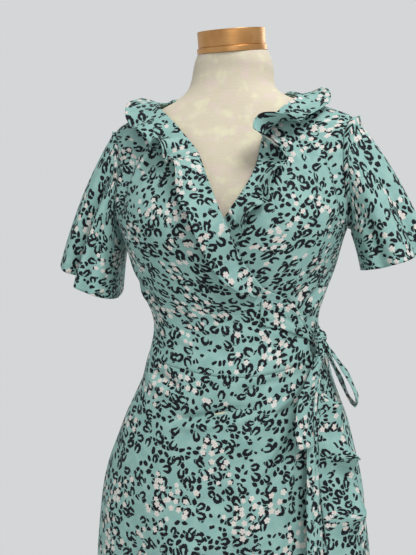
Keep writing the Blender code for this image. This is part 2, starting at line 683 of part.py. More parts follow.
def flounce():
    """The ruffle down the front edge of the right skirt front."""
    z = np.linspace(FLOUNCE_TOP_Z, HEM_Z, FLOUNCE_STEPS + 1)
    waist = seam_z(math.radians(WRAP_EDGE_DEG))
    places = np.stack([np.radians(wrap_edge(waist - z)), z], axis=-1)
    base = on_dress(places, over_lift(places) + RUFFLE_BASE)
    width = smooth(z, *zip(*FLOUNCE_WIDTHS))
    tangent = unit(np.gradient(base, axis=0))
    normal = outward(places[:, 0], places[:, 1])
    across = unit(np.cross(normal, tangent))
    across *= np.sign(across[:, :1])
    s = FLOUNCE_TOP_Z - z
    phase = 2 * np.pi * (s / FLOUNCE_WAVE + 0.25 * np.sin(s * 8.0))
    rows = []
    for ring in range(RUFFLE_RINGS + 1):
        share = ring / RUFFLE_RINGS
        out = share * width
        up = share * FLOUNCE_STAND * (1.0 + np.sin(phase)) * np.clip(width / 0.05, 0, 1)
        slide = share * FLOUNCE_CURL * np.cos(phase)
        rows.append(
            base + across * out[:, None] + normal * up[:, None] + tangent * slide[:, None]
        )
    grid = clear_of_dress(np.stack(rows), RUFFLE_BASE)
    return cloth("skirt_flounce", laid_on(grid, ("skirt_right_front", "skirt_left_front")))


# ---------------------------------------------------------------- ties and bow
def tie(name, table, lift, bases, step_deg, gap):
    """A flat length of the tie lying on the bodice."""
    degrees, heights, halves = np.array(table, float).T
    order = np.argsort(degrees)
    ends = degrees[order[[0, -1]]]
    strips = np.arange(-90, 271, step_deg)
    run = np.concatenate([ends[:1], strips[(strips > ends[0]) & (strips < ends[1])], ends[1:]])
    z = smooth(run, degrees[order], heights[order])
    half = smooth(run, degrees[order], halves[order])
    rows = []
    for share in (-1, -0.33, 0.33, 1):
        places = np.stack([np.radians(run), z + share * half], axis=-1)
        rows.append(on_dress(places, lift(places) + gap))
    return cloth(name, laid_on(np.stack(rows), bases, gap))


def knot_frame():
    """The knot's middle, and the directions round the body, outwards and up."""
    place = np.array([[math.radians(KNOT_PLACE[0]), KNOT_PLACE[1]]])
    middle = on_dress(place, np.array([KNOT_LIFT]))[0]
    out = outward(place[:, 0], place[:, 1])[0] * (1, 1, 0)
    out /= np.linalg.norm(out)
    up = np.array([0.0, 0.0, 1.0])
    return middle, np.cross(up, out), out, up


def knot():
    bpy.ops.mesh.primitive_uv_sphere_add(segments=16, ring_count=9, radius=1.0)
    piece = bpy.context.object
    middle, along, out, up = knot_frame()
    turn = Matrix((along, out, up)).transposed().to_4x4()
    piece.data.transform(Matrix.Diagonal((*KNOT_HALF, 1.0)))
    piece.location = middle
    piece.rotation_euler = turn.to_euler()
    return keep(piece, "tie_knot", "crepe")


def knot_underside(along, out, half_width):
    """The middle of a strip's end that just clears the knot's underside."""
    middle, along_way, out_way, up_way = knot_frame()
    nearest_along = max(abs(along) - half_width, 0.0)
    nearest_out = max(abs(out) - WALL / 2, 0.0)
    share = (nearest_along / KNOT_HALF[0]) ** 2 + (nearest_out / KNOT_HALF[1]) ** 2
    down = KNOT_HALF[2] * math.sqrt(1 - share) + 2.5 * SEAT
    return middle + along * along_way + out * out_way - down * up_way


def hanging(name, table, bases):
    """A length of the tie that hangs from the knot, over the skirt."""
    degrees, heights, gaps, halves = np.array(table, float).T
    steps = np.hypot(np.diff(heights), np.diff(gaps)) + np.abs(np.diff(degrees)) * 0.002
    shares = np.concatenate([[0], np.cumsum(steps)]) / steps.sum()
    t = np.linspace(0, 1, HANGING_ROWS + 1)
    run, z, gap, half = [smooth(t, shares, column) for column in (degrees, heights, gaps, halves)]
    places = np.stack([np.radians(run), z], axis=-1)
    for _ in range(4):
        lift = OVER + RIDGES * ease_in(KNOT_PLACE[1] - places[:, 1], 0.02, 0.07)
        line = on_dress(places, lift + gap)
        places[:, 1] += z - line[:, 2]
    ends = KNOT_ENDS[name]
    line[0] = knot_underside(*ends[0], half[0])
    if len(ends) > 1:
        line[-1] = knot_underside(*ends[1], half[-1])
    sideways = np.stack([np.cos(places[:, 0]), np.sin(places[:, 0]), 0 * run], axis=-1)
    grid = np.stack([line + (share * half)[:, None] * sideways for share in (-1, 0, 1)], axis=1)
    return cloth(name, laid_on(grid, bases, HANGING_GAP))


# ---------------------------------------------------------------- form and stand
def torso():
    rows = np.array([row[0] for row in FORM_SECTIONS])
    rows = rows[:, None]
    angle = (np.arange(FORM_STEPS) * 2 * np.pi / FORM_STEPS)[None]
    points = at(angle, rows, form_radius(angle, rows))
    tilt = math.tan(NECK_TILT) * ease_in(rows, NECK_TILT_FROM_Z, NECK_TOP_Z)
    points[..., 2] += tilt * (points[..., 1] - centre_y(rows))
    points[..., 0] += NECK_ASIDE * ease_in(rows, *NECK_ASIDE_FROM_TO)
    count, columns = points.shape[:2]
    faces = []
    for i in range(count - 1):
        for j in range(columns):
            a = i * columns + j
            b = i * columns + (j + 1) % columns
            faces.append((a, b, b + columns, a + columns))
    faces.append(tuple(range(columns - 1, -1, -1)))
    faces.append(tuple(range((count - 1) * columns, count * columns)))
    mesh = bpy.data.meshes.new("form_torso")
    mesh.from_pydata(points.reshape(-1, 3).tolist(), [], faces)
    return add_object("form_torso", mesh, "canvas")


def turned(name, profile, material):
    """A turned part from (radius, height) points, listed from the top down."""
    mesh = bpy.data.meshes.new(name)
    vertices = [(radius, 0.0, z) for radius, z in profile]
    mesh.from_pydata(vertices, [(i, i + 1) for i in range(len(vertices) - 1)], [])
    piece = add_object(name, mesh, material)
    screw = piece.modifiers.new("turn", "SCREW")
    screw.steps = ROUND_STEPS
    screw.render_steps = ROUND_STEPS
    screw.use_merge_vertices = True
    screw.merge_threshold = 1e-5
    return piece


def neck_cap():
    groove_top = CAP_RING_HEIGHT + CAP_GROOVE
    inner = CAP_RADIUS - CAP_GROOVE
    cap = turned(
        "neck_cap",
        (
            (0.0, CAP_HEIGHT),
            (CAP_RADIUS - CAP_ROUND, CAP_HEIGHT),
            (CAP_RADIUS, CAP_HEIGHT - CAP_ROUND),
            (CAP_RADIUS, groove_top),
            (inner, groove_top),
            (inner, CAP_RING_HEIGHT),
            (CAP_RING_RADIUS, CAP_RING_HEIGHT),
            (CAP_RING_RADIUS, 0.0),
            (0.0, 0.0),
        ),
        "copper",
    )
    lean = Matrix.Rotation(NECK_TILT, 4, "X")
    cap.rotation_euler = lean.to_euler()
    cap.location = Vector((NECK_ASIDE, float(centre_y(NECK_TOP_Z)), NECK_TOP_Z)) + lean @ Vector((0, 0, SEAT))
    return cap


def stand():
    collar_bottom = FORM_BOTTOM_Z - SEAT - COLLAR_HEIGHT
    collar = turned(
        "form_collar",
        (
            (0.0, COLLAR_HEIGHT),
            (COLLAR_RADIUS, COLLAR_HEIGHT),
            (COLLAR_RADIUS, COLLAR_HEIGHT * 0.7),
            (COLLAR_RADIUS * 0.6, 0.0),
            (0.0, 0.0),
        ),
        "steel",
    )
    collar.location = (0, 0, collar_bottom)
    base_top = BASE_CROWN + BASE_BOSS
    turned(
        "stand_base",
        (
            (0.0, base_top),
            (COLLAR_RADIUS * 0.7, base_top),
            (COLLAR_RADIUS, base_top - 0.004),
            (COLLAR_RADIUS * 1.1, BASE_CROWN),
            (BASE_RADIUS * 0.6, BASE_CROWN * 0.85),
            (BASE_RADIUS - 0.004, BASE_RIM),
            (BASE_RADIUS, BASE_RIM * 0.5),
            (BASE_RADIUS, 0.0),
            (0.0, 0.0),
        ),
        "steel",
    )
    length = collar_bottom - base_top - 2 * SEAT
    bpy.ops.mesh.primitive_cylinder_add(vertices=32, radius=POLE_RADIUS, depth=length)
    pole = bpy.context.object
    pole.location = (0, 0, base_top + SEAT + length / 2)
    keep(pole, "stand_pole", "steel")


# ---------------------------------------------------------------- scene
def material(name):
    if name in bpy.data.materials:
        return bpy.data.materials[name]
    colour, roughness, metallic = COLOURS[name]
    made = bpy.data.materials.new(name)
    made.use_nodes = True
    shader = made.node_tree.nodes["Principled BSDF"]
    shader.inputs["Base Color"].default_value = (*colour, 1.0)
    shader.inputs["Roughness"].default_value = roughness
    shader.inputs["Metallic"].default_value = metallic
    return made


def collection():
    name = "wrap_dress_on_form"
    if name not in bpy.data.collections:
        made = bpy.data.collections.new(name)
        bpy.context.scene.collection.children.link(made)
    return bpy.data.collections[name]


def add_object(name, mesh, material_name):
    piece = bpy.data.objects.new(name, mesh)
    bpy.context.scene.collection.objects.link(piece)
    return keep(piece, name, material_name)


def keep(piece, name, material_name):
    """Names a new object, gives it its own material and moves it into the collection."""
    piece.name = name
    piece.data.name = name
    own = material(material_name).copy()
    own.name = f"{name}_{material_name}"
    piece.data.materials.clear()
    piece.data.materials.append(own)
    for holder in list(piece.users_collection):
        holder.objects.unlink(piece)
    collection().objects.link(piece)
    return piece


def main():
    for old in list(bpy.data.objects):
        bpy.data.objects.remove(old)
    torso()
    neck_cap()
    stand()
    back_bodice(15)
    front_bodice("bodice_right_front", -1, NECKLINE_RIGHT, WRAP_EDGE_DEG, 13, over_lift)
    front_bodice("bodice_left_front", 1, NECKLINE_LEFT, UNDER_EDGE_DEG, 12, under_lift)
    skirt("skirt_back", 90, 270, under_lift, ("first_column", "last_column"))
    skirt("skirt_right_front", -90, WRAP_EDGE_DEG, over_lift, ("first_column",))
    skirt("skirt_left_front", UNDER_EDGE_DEG, 90, under_lift, ("last_column",))
    sleeve("sleeve_right", RIGHT_SLEEVE, RIGHT_SLEEVE_FOLDS)
    sleeve("sleeve_left", LEFT_SLEEVE, LEFT_SLEEVE_FOLDS)
    neck_ruffles()
    flounce()
    tie("front_tie", FRONT_TIE, over_lift, ("bodice_right_front",), COLUMN_DEG, HANGING_GAP)
    tie("back_tie", BACK_TIE, under_lift, ("bodice_back", "bodice_left_front"), 2 * COLUMN_DEG, BACK_TIE_GAP)
    knot()
    skirts = ("skirt_right_front", "skirt_left_front", "skirt_flounce")
    hanging("tail_back", BACK_TAIL, skirts)
    hanging("tail_front", FRONT_TAIL, skirts + ("tail_back",))
    hanging("bow_long_loop", LONG_LOOP, skirts + ("tail_back", "tail_front"))
    hanging("bow_short_loop", SHORT_LOOP, skirts + ("tail_back",))


main()
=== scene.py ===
"""A wrap dress on a limbless dress form: the visual model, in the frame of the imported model.

Metres, +Z up, the front faces -Y and the wearer's left side, with the bow, is at +X. Angles
go round the body: 0 is the front, 90 the wearer's left and 180 the back.
"""

import math

import bmesh
import bpy
import numpy as np
from mathutils import Matrix, Vector


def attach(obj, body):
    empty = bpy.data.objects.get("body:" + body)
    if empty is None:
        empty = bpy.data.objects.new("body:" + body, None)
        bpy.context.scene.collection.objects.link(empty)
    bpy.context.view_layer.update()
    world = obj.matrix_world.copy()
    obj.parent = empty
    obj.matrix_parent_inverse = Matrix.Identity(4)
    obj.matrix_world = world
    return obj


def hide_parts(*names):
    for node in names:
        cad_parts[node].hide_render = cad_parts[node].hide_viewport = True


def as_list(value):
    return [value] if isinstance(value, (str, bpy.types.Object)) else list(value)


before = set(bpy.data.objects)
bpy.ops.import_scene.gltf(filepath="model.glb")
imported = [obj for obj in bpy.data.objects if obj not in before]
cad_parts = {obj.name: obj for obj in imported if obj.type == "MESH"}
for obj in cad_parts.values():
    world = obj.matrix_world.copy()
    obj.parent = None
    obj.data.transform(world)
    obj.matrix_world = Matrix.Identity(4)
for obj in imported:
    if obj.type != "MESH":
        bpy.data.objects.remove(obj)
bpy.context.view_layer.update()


# ---------------------------------------------------------------- driving dimensions
CLOTH = 0.0010  # thickness of the crepe
WALL = 0.0012
SEAM_GAP = 0.0004
OVER = 0.0042  # how far the right front lies outside the left front
EASE = 0.0042
SHOULDER_EASE = 0.0030
RESTING_Z = (1.300, 1.350)
SOFTNESS = 0.003

SHOULDER_Z = 1.373
NECK_SIDE_Z = 1.418
UNDERARM_Z = 1.198
ARMHOLE_HALF_DEG = 15.0
HEM_Z = 0.490
WRAP_EDGE_DEG = 66
WRAP_EDGE = ((0.000, 66.0), (0.050, 63.0), (0.100, 59.0), (0.160, 57.0))
UNDER_EDGE_DEG = -54

FORM_BOTTOM_Z = 0.740
NECK_TOP_Z = 1.490
NECK_TILT = math.radians(15)
NECK_TILT_FROM_Z = 1.450
NECK_ASIDE = 0.006
NECK_ASIDE_FROM_TO = (1.415, 1.470)

CAP_RADIUS = 0.0550
CAP_RING_RADIUS = 0.0572
CAP_RING_HEIGHT = 0.0085
CAP_HEIGHT = 0.0345
CAP_GROOVE = 0.0012
SEAT = 0.0003

POLE_RADIUS = 0.0125
COLLAR_RADIUS = 0.030
COLLAR_HEIGHT = 0.045
BASE_RADIUS = 0.190
BASE_CROWN = 0.022
BASE_BOSS = 0.022

# Each row is one level section of the dress form: height, half width, front depth, back depth.
FORM_SECTIONS = (
    (0.740, 0.166, 0.100, 0.122),
    (0.800, 0.175, 0.106, 0.130),
    (0.860, 0.178, 0.110, 0.132),
    (0.920, 0.163, 0.106, 0.118),
    (0.980, 0.142, 0.096, 0.101),
    (1.040, 0.126, 0.086, 0.086),
    (1.100, 0.134, 0.090, 0.092),
    (1.160, 0.147, 0.098, 0.101),
    (1.215, 0.156, 0.102, 0.107),
    (1.270, 0.166, 0.098, 0.109),
    (1.315, 0.175, 0.089, 0.105),
    (1.345, 0.182, 0.080, 0.098),
    (1.362, 0.184, 0.074, 0.092),
    (1.375, 0.177, 0.070, 0.087),
    (1.388, 0.156, 0.066, 0.082),
    (1.401, 0.125, 0.063, 0.077),
    (1.414, 0.095, 0.060, 0.071),
    (1.430, 0.0745, 0.0575, 0.065),
    (1.445, 0.0685, 0.0555, 0.060),
    (1.465, 0.0656, 0.0545, 0.058),
    (1.478, 0.0622, 0.0535, 0.056),
    (1.490, 0.0565, 0.0525, 0.0535),
)
# The same, for the dress where it hangs free.
DRESS_SECTIONS = (
    (0.480, 0.236, 0.160, 0.172),
    (0.560, 0.231, 0.153, 0.166),
    (0.640, 0.225, 0.145, 0.160),
    (0.710, 0.2205, 0.137, 0.154),
    (0.762, 0.216, 0.131, 0.149),
    (0.817, 0.2055, 0.125, 0.144),
    (0.862, 0.193, 0.120, 0.139),
    (0.901, 0.180, 0.116, 0.130),
    (0.929, 0.168, 0.112, 0.120),
    (0.962, 0.155, 0.107, 0.109),
    (0.991, 0.1475, 0.102, 0.100),
    (1.014, 0.1395, 0.097, 0.094),
    (1.050, 0.1335, 0.093, 0.091),
    (1.093, 0.146, 0.099, 0.097),
    (1.142, 0.164, 0.106, 0.104),
    (1.180, 0.177, 0.109, 0.109),
    (1.215, 0.191, 0.109, 0.112),
    (1.255, 0.198, 0.104, 0.112),
    (1.300, 0.201, 0.095, 0.109),
    (1.340, 0.202, 0.083, 0.100),
    (1.362, 0.201, 0.075, 0.092),
    (1.376, 0.193, 0.070, 0.086),
    (1.390, 0.160, 0.064, 0.079),
    (1.414, 0.090, 0.056, 0.066),
    (1.500, 0.050, 0.046, 0.047),
)
SECTION_POWER = 2.15  # 2 is an ellipse, more is squarer
NECK_LEAN = ((1.400, 0.0), (1.430, -0.002), (1.465, -0.009), (1.500, -0.018))

# How far the skirt hangs to the wearer's left, by height: it swings out over the right hip.
HIP_SHIFT = ((0.480, -0.013), (0.800, -0.013), (0.880, -0.008), (0.960, 0.0))

# The bust's two swells, on the form and in the cloth over it: swell, height, side, wide, up, down.
FORM_BUST = (0.029, 1.212, 0.085, 0.042, 0.055, 0.042)
DRESS_BUST = (0.034, 1.212, 0.085, 0.055, 0.066, 0.062)

# Paths on the dress, as (degrees, height).
NECKLINE_RIGHT = (  # the right front's edge, from the shoulder seam to the waist seam
    (-90, 1.418), (-72, 1.403), (-37, 1.347), (-20, 1.313), (-8, 1.266), (3, 1.212),
    (14.5, 1.152), (30, 1.108), (48, 1.090), (60, 1.066), (66, 1.040), (66, 1.000),
)
NECKLINE_LEFT = (  # the left front's edge, from the shoulder seam to the waist seam
    (90, 1.418), (70, 1.402), (44, 1.362), (33, 1.325), (25, 1.284), (15, 1.248),
    (3, 1.212), (-14, 1.165), (-34, 1.120), (-48, 1.072), (-54, 1.030), (-54, 0.991),
)
BACK_NECK = ((-90, 1.418), (-135, 1.424), (-180, 1.427), (-225, 1.424), (-270, 1.418))
WAIST_SEAM = (
    (-90, 1.010), (-60, 0.993), (-35, 0.982), (0, 0.972), (25, 0.973), (50, 0.984),
    (70, 1.001), (90, 1.010), (180, 1.012), (270, 1.010),
)
# Ridges and troughs: from (degrees, z), to (degrees, z), half width, height. Those that end at the
# hem run off it.
SKIRT_FOLDS = (
    (64, 0.975, -60, 0.880, 0.017, -0.0055),
    (64, 0.965, 4, 0.850, 0.016, 0.0065),
    (62, 0.955, -14, 0.800, 0.017, -0.0070),
    (62, 0.930, 8, 0.720, 0.018, 0.0080),
    (60, 0.900, 30, 0.490, 0.020, -0.0120),
    (4, 0.740, 0, 0.490, 0.024, -0.0100),
    (-24, 0.790, -28, 0.490, 0.024, 0.0100),
    (-52, 0.800, -55, 0.490, 0.024, -0.0090),
    (102, 0.850, 102, 0.490, 0.022, 0.0080),
    (124, 0.830, 126, 0.490, 0.022, -0.0100),
    (148, 0.870, 151, 0.490, 0.024, 0.0110),
    (176, 0.840, 177, 0.490, 0.022, -0.0090),
    (203, 0.880, 200, 0.490, 0.025, 0.0120),
    (229, 0.830, 232, 0.490, 0.022, -0.0090),
    (254, 0.850, 256, 0.490, 0.022, 0.0080),
)
BODICE_FOLDS = (
    (62, 1.050, 40, 1.150, 0.015, 0.0030),
    (-76, 1.050, -30, 1.010, 0.014, 0.0030),
    (-70, 1.075, -48, 1.150, 0.015, -0.0025),
    (62, 1.372, 68, 1.235, 0.015, -0.0030),
    (-60, 1.376, -66, 1.235, 0.015, -0.0030),
    (246, 1.060, 205, 1.120, 0.016, 0.0035),
    (112, 1.060, 150, 1.125, 0.016, 0.0035),
)
SIDE_FADE_DEG = (3.0, 18.0)  # folds die out towards the side seams
WAIST_FADE = (0.004, 0.045)  # and towards the waist seam
# Finer creases, in the same columns: pinches by the armholes, gathers at the waist and the knot.
SKIRT_CREASES = (
    (60, 0.985, 10, 0.945, 0.0055, -0.0022),
    (60, 0.975, 26, 0.900, 0.0050, 0.0026),
    (-66, 0.985, -36, 0.952, 0.0050, -0.0026),
    (-70, 0.968, -30, 0.935, 0.0060, 0.0020),
    (52, 0.930, 6, 0.895, 0.0050, -0.0026),
    (-44, 0.905, 22, 0.926, 0.0050, -0.0042),
    (-46, 0.893, 18, 0.912, 0.0070, 0.0030),
    (50, 0.905, 20, 0.800, 0.0055, -0.0040),
    (-30, 0.780, 10, 0.800, 0.0080, -0.0020),
    (12, 0.760, -36, 0.700, 0.0070, 0.0022),
    (44, 0.880, 36, 0.760, 0.0060, 0.0026),
    (46, 0.700, 40, 0.490, 0.0090, 0.0040),
    (110, 0.975, 150, 0.930, 0.0060, -0.0022),
    (232, 0.970, 200, 0.915, 0.0060, -0.0024),
    (160, 0.960, 176, 0.905, 0.0060, 0.0022),
    (196, 0.870, 176, 0.800, 0.0070, -0.0024),
    (140, 0.800, 164, 0.730, 0.0080, 0.0024),
    (236, 0.770, 214, 0.700, 0.0080, 0.0022),
)
BODICE_CREASES = (
    (-62, 1.365, -66, 1.225, 0.0045, -0.0026),
    (-54, 1.352, -60, 1.240, 0.0050, 0.0022),
    (-70, 1.330, -74, 1.220, 0.0045, 0.0022),
    (-48, 1.330, -62, 1.230, 0.0045, -0.0018),
    (54, 1.372, 62, 1.235, 0.0045, -0.0030),
    (62, 1.350, 68, 1.215, 0.0050, 0.0024),
    (68, 1.335, 72, 1.210, 0.0045, -0.0026),
    (46, 1.352, 56, 1.250, 0.0045, 0.0020),
    (-86, 1.150, -58, 1.085, 0.0055, -0.0028),
    (-84, 1.120, -50, 1.060, 0.0055, 0.0022),
    (-80, 1.075, -40, 1.028, 0.0050, -0.0026),
    (-66, 1.055, -20, 1.010, 0.0050, 0.0022),
    (-50, 1.020, 10, 1.005, 0.0050, -0.0022),
    (-30, 1.045, 20, 1.035, 0.0055, 0.0018),
    (30, 1.010, 64, 1.028, 0.0050, -0.0024),
    (20, 1.030, 60, 1.046, 0.0050, 0.0022),
    (86, 1.140, 62, 1.075, 0.0055, -0.0028),
    (84, 1.105, 62, 1.052, 0.0050, 0.0024),
    (66, 1.150, 54, 1.085, 0.0055, -0.0024),
    (48, 1.165, 50, 1.095, 0.0050, 0.0020),
    (112, 1.340, 106, 1.225, 0.0055, -0.0026),
    (120, 1.330, 116, 1.240, 0.0055, 0.0022),
    (248, 1.340, 254, 1.225, 0.0055, -0.0026),
    (240, 1.330, 245, 1.240, 0.0055, 0.0022),
    (100, 1.130, 140, 1.080, 0.0060, -0.0026),
    (260, 1.120, 222, 1.075, 0.0060, -0.0026),
    (130, 1.060, 190, 1.072, 0.0060, 0.0022),
    (230, 1.062, 176, 1.052, 0.0055, -0.0020),
    (170, 1.220, 166, 1.110, 0.0080, 0.0022),
    (196, 1.240, 200, 1.120, 0.0080, -0.0020),
)

# The two sleeves' hems: side, out, half out, front, back, z, rise outwards, drop to the back.
RIGHT_SLEEVE = (-1, 0.248, 0.045, 0.080, 0.082, 1.126, 0.032, 0.012)
LEFT_SLEEVE = (1, 0.258, 0.052, 0.078, 0.082, 1.148, 0.015, 0.010)
SLEEVE_SWING = 0.62  # how soon the cloth is over its hem
SLEEVE_DROP = 0.40  # and how little it has fallen by then
SLEEVE_STAND = 0.0050  # how far the gathered cap stands out before it falls
SLEEVE_CLEAR = 0.0046
# Folds round each hem: degrees (0 is outermost, 90 the front), half width, share of the radius.
RIGHT_FINE_FOLDS = ((68, 11, -0.62), (96, 12, 0.20), (150, 20, 0.10), (-40, 20, 0.10), (-84, 20, -0.12))
LEFT_FINE_FOLDS = ((48, 10, -0.30), (86, 18, 0.14), (150, 20, 0.10), (-40, 20, 0.12), (-84, 20, -0.14))
# Narrower folds on the sleeves, with the same columns.
SLEEVE_CREASES = (
    (54, 7, 0.10), (66, 7, -0.07), (112, 9, -0.07), (128, 8, 0.06), (20, 9, 0.06), (-20, 10, -0.08),
    (-62, 9, 0.07), (-110, 10, -0.08), (-140, 10, 0.07),
)
GATHERS = 34  # small gathers round each armhole
GATHER_HEIGHT = 0.0011
GATHER_FADE = 0.022

# The ruffle's sewn run, from the right front's waist up and round the neck: degrees, width, stand,
# and sway along the edge.
RUFFLE_SIZES = (
    (26, 0.012, 0.006, -0.004),
    (10, 0.036, 0.013, -0.002),
    (-20, 0.046, 0.012, 0.0),
    (-60, 0.052, 0.013, 0.0),
    (-90, 0.060, 0.034, 0.0),
    (-135, 0.050, 0.012, 0.0),
    (-225, 0.050, 0.012, 0.0),
    (-270, 0.058, 0.032, 0.0),
    (-300, 0.050, 0.012, 0.0),
    (-335, 0.046, 0.011, 0.002),
    (-354, 0.042, 0.010, 0.010),
)
RUFFLE_BASE = 0.0019  # the sewn edge, over the middle of the cloth under it
RUFFLE_CLEAR = 0.0040

FLOUNCE_TOP_Z = 0.950
FLOUNCE_WIDTHS = (
    (0.490, 0.060), (0.680, 0.062), (0.725, 0.050), (0.800, 0.064), (0.860, 0.052), (0.925, 0.030),
    (0.950, 0.014),
)
FLOUNCE_STAND = 0.016
FLOUNCE_WAVE = 0.095
FLOUNCE_CURL = 0.010

# The ties, lying on the bodice: degrees, height, half width.
FRONT_TIE = ((30, 1.070, 0.021), (44, 1.064, 0.020), (58, 1.048, 0.016), (70, 1.028, 0.010))
BACK_TIE = (
    (264, 1.036, 0.013), (240, 1.038, 0.013), (210, 1.040, 0.014), (180, 1.040, 0.014),
    (150, 1.039, 0.014), (120, 1.036, 0.013), (96, 1.030, 0.012), (80, 1.026, 0.010),
)

KNOT_PLACE = (69.5, 1.024)
KNOT_LIFT = 0.0200
KNOT_HALF = (0.0135, 0.0095, 0.0125)  # round the body, outwards, up

# What hangs from the knot: degrees, height, how far off the cloth, half width.
LONG_LOOP = (
    (68.0, 1.010, 0.020, 0.0060), (59.0, 0.983, 0.023, 0.013), (50.0, 0.935, 0.025, 0.017),
    (48.0, 0.895, 0.025, 0.017), (48.5, 0.872, 0.022, 0.016), (48.5, 0.872, 0.018, 0.016),
    (48.5, 0.895, 0.015, 0.016), (50.5, 0.935, 0.015, 0.015), (60.0, 0.983, 0.0145, 0.011),
    (68.0, 1.010, 0.013, 0.0060),
)
SHORT_LOOP = (
    (73.0, 1.012, 0.019, 0.0050), (77.0, 0.986, 0.021, 0.011), (82.0, 0.950, 0.021, 0.014),
    (85.5, 0.925, 0.017, 0.014), (86.0, 0.916, 0.011, 0.013), (85.0, 0.925, 0.007, 0.013),
    (82.0, 0.950, 0.006, 0.013), (77.5, 0.986, 0.008, 0.010), (73.0, 1.012, 0.013, 0.0050),
)
FRONT_TAIL = (
    (69.5, 1.010, 0.0095, 0.004), (61.0, 0.965, 0.0058, 0.009), (53.5, 0.870, 0.0052, 0.010),
    (50.5, 0.780, 0.0050, 0.011), (48.5, 0.700, 0.0050, 0.013), (47.0, 0.640, 0.0050, 0.014),
)
BACK_TAIL = (
    (71.0, 1.010, 0.0085, 0.004), (64.5, 0.965, 0.0025, 0.007), (55.5, 0.870, 0.0018, 0.008),
    (53.0, 0.780, 0.0016, 0.009), (51.5, 0.700, 0.0016, 0.011), (50.5, 0.580, 0.0016, 0.013),
)
# Where each end meets the knot's underside: round the body and outwards from its middle.
KNOT_ENDS = {
    "bow_long_loop": ((-0.004, 0.0055), (-0.005, 0.0010)),
    "bow_short_loop": ((0.007, 0.0045), (0.0075, 0.0005)),
    "tail_front": ((-0.001, -0.0030),),
    "tail_back": ((0.004, -0.0062),),
}
# How wide the ruffle is and how far it stands up from the cloth, in degrees, along its run.
RUFFLE_WIDE = (
    (30, 0.020), (22, 0.044), (8, 0.056), (-8, 0.058), (-20, 0.052), (-30, 0.060), (-40, 0.056),
    (-60, 0.060), (-90, 0.052), (-120, 0.050), (-180, 0.048), (-240, 0.052), (-270, 0.056),
    (-300, 0.054), (-318, 0.050), (-330, 0.046), (-345, 0.048), (-354, 0.044),
)
RUFFLE_ROLL = (
    (30, 8), (20, 26), (12, 12), (2, 34), (-6, 14), (-14, 40), (-20, 9), (-27, 22), (-33, 42),
    (-39, 8), (-50, 26), (-62, 12), (-78, 30), (-90, 36), (-105, 16), (-130, 38), (-150, 12),
    (-172, 36), (-195, 12), (-215, 34), (-240, 14), (-262, 40), (-276, 34), (-290, 14),
    (-303, 24), (-314, 30), (-321, 62), (-327, 98), (-331, 16), (-337, 34), (-343, 10), (-349, 34),
    (-354, 16),
)
HANGING_GAP = 0.0028
BACK_TIE_GAP = 0.0019
RIDGES = 0.0055
EDGE_WAVE = 0.021  # the small wave of a rolled edge
EDGE_LIFT = 0.0007
RUFFLE_GATHER = 0.0105
RUFFLE_GATHER_HEIGHT = 0.0006

GRID = 0.0032  # spacing of the points of the cloth

CAMERA_DEGREES = 9.5
CAMERA_DISTANCE = 1.25
CAMERA_Z = 1.124
CAMERA_ASIDE = 0.0446  # the view's middle lies this far to the left of the stand
CAMERA_ROLL = math.radians(1.2)
PIXELS = (416, 555)
PIXELS_A_METRE = 605
FLOOR_RADIUS = 1.6

SKIRT_FOLD_DEPTH = 2.3  # how much deeper the finer creases are than their tables say
BODICE_FOLD_DEPTH = 1.4
CREASE_SIDE_FADE_DEG = (1.0, 7.0)
CREASE_WAIST_FADE = (0.002, 0.016)

# How many steps each piece's grid has.
SIDE_SEAM_STEPS = 55
ARMHOLE_STEPS = 66
FRONT_STEPS = 110
BACK_STEPS = 140
NECK_RISE_STEPS = 40
SKIRT_STEPS = 150
SLEEVE_HALF_STEPS = 90
SLEEVE_STEPS = 60
RUFFLE_STEP = 0.0026
RUFFLE_WIDTH_STEPS = 20
FLOUNCE_STEPS = 180
TIE_WIDTH_STEPS = 12
HANGING_STEPS = 110
HANGING_WIDTH_STEPS = 10
CLEAR_PASSES = 5


# ---------------------------------------------------------------- curves
def smooth(x, knots, values):
    """A cubic curve through the values at the knots, level beyond both ends."""
    knots = np.asarray(knots, float)
    values = np.asarray(values, float)
    x = np.clip(x, knots[0], knots[-1])
    slopes = np.gradient(values, knots)
    i = np.clip(np.searchsorted(knots, x) - 1, 0, len(knots) - 2)
    step = knots[i + 1] - knots[i]
    t = (x - knots[i]) / step
    return (
        (2 * t**3 - 3 * t**2 + 1) * values[i]
        + (t**3 - 2 * t**2 + t) * step * slopes[i]
        + (3 * t**2 - 2 * t**3) * values[i + 1]
        + (t**3 - t**2) * step * slopes[i + 1]
    )


def ease_in(x, low, high):
    """0 up to low, 1 from high on, and smooth between."""
    t = np.clip((x - low) / (high - low), 0.0, 1.0)
    return t * t * (3 - 2 * t)


def along_path(path, t):
    """Places at shares t of the length of a path on the dress."""
    points = np.array(path, float)
    points[:, 0] = np.radians(points[:, 0])
    lengths = np.hypot(np.diff(points[:, 0]) * 0.12, np.diff(points[:, 1]))
    shares = np.concatenate([[0], np.cumsum(lengths)]) / lengths.sum()
    return np.stack([smooth(t, shares, points[:, k]) for k in (0, 1)], axis=-1)


# ---------------------------------------------------------------- form and dress surfaces
def centre_y(z):
    return smooth(z, *zip(*NECK_LEAN))


def section_radius(angle, z, sections):
    heights, widths, fronts, backs = zip(*sections)
    width = smooth(z, heights, widths)
    front = smooth(z, heights, fronts)
    back = smooth(z, heights, backs)
    depth = np.where(np.cos(angle) > 0, front, back)
    across = (np.abs(np.sin(angle)) / width) ** SECTION_POWER
    along = (np.abs(np.cos(angle)) / depth) ** SECTION_POWER
    return (across + along) ** (-1 / SECTION_POWER)


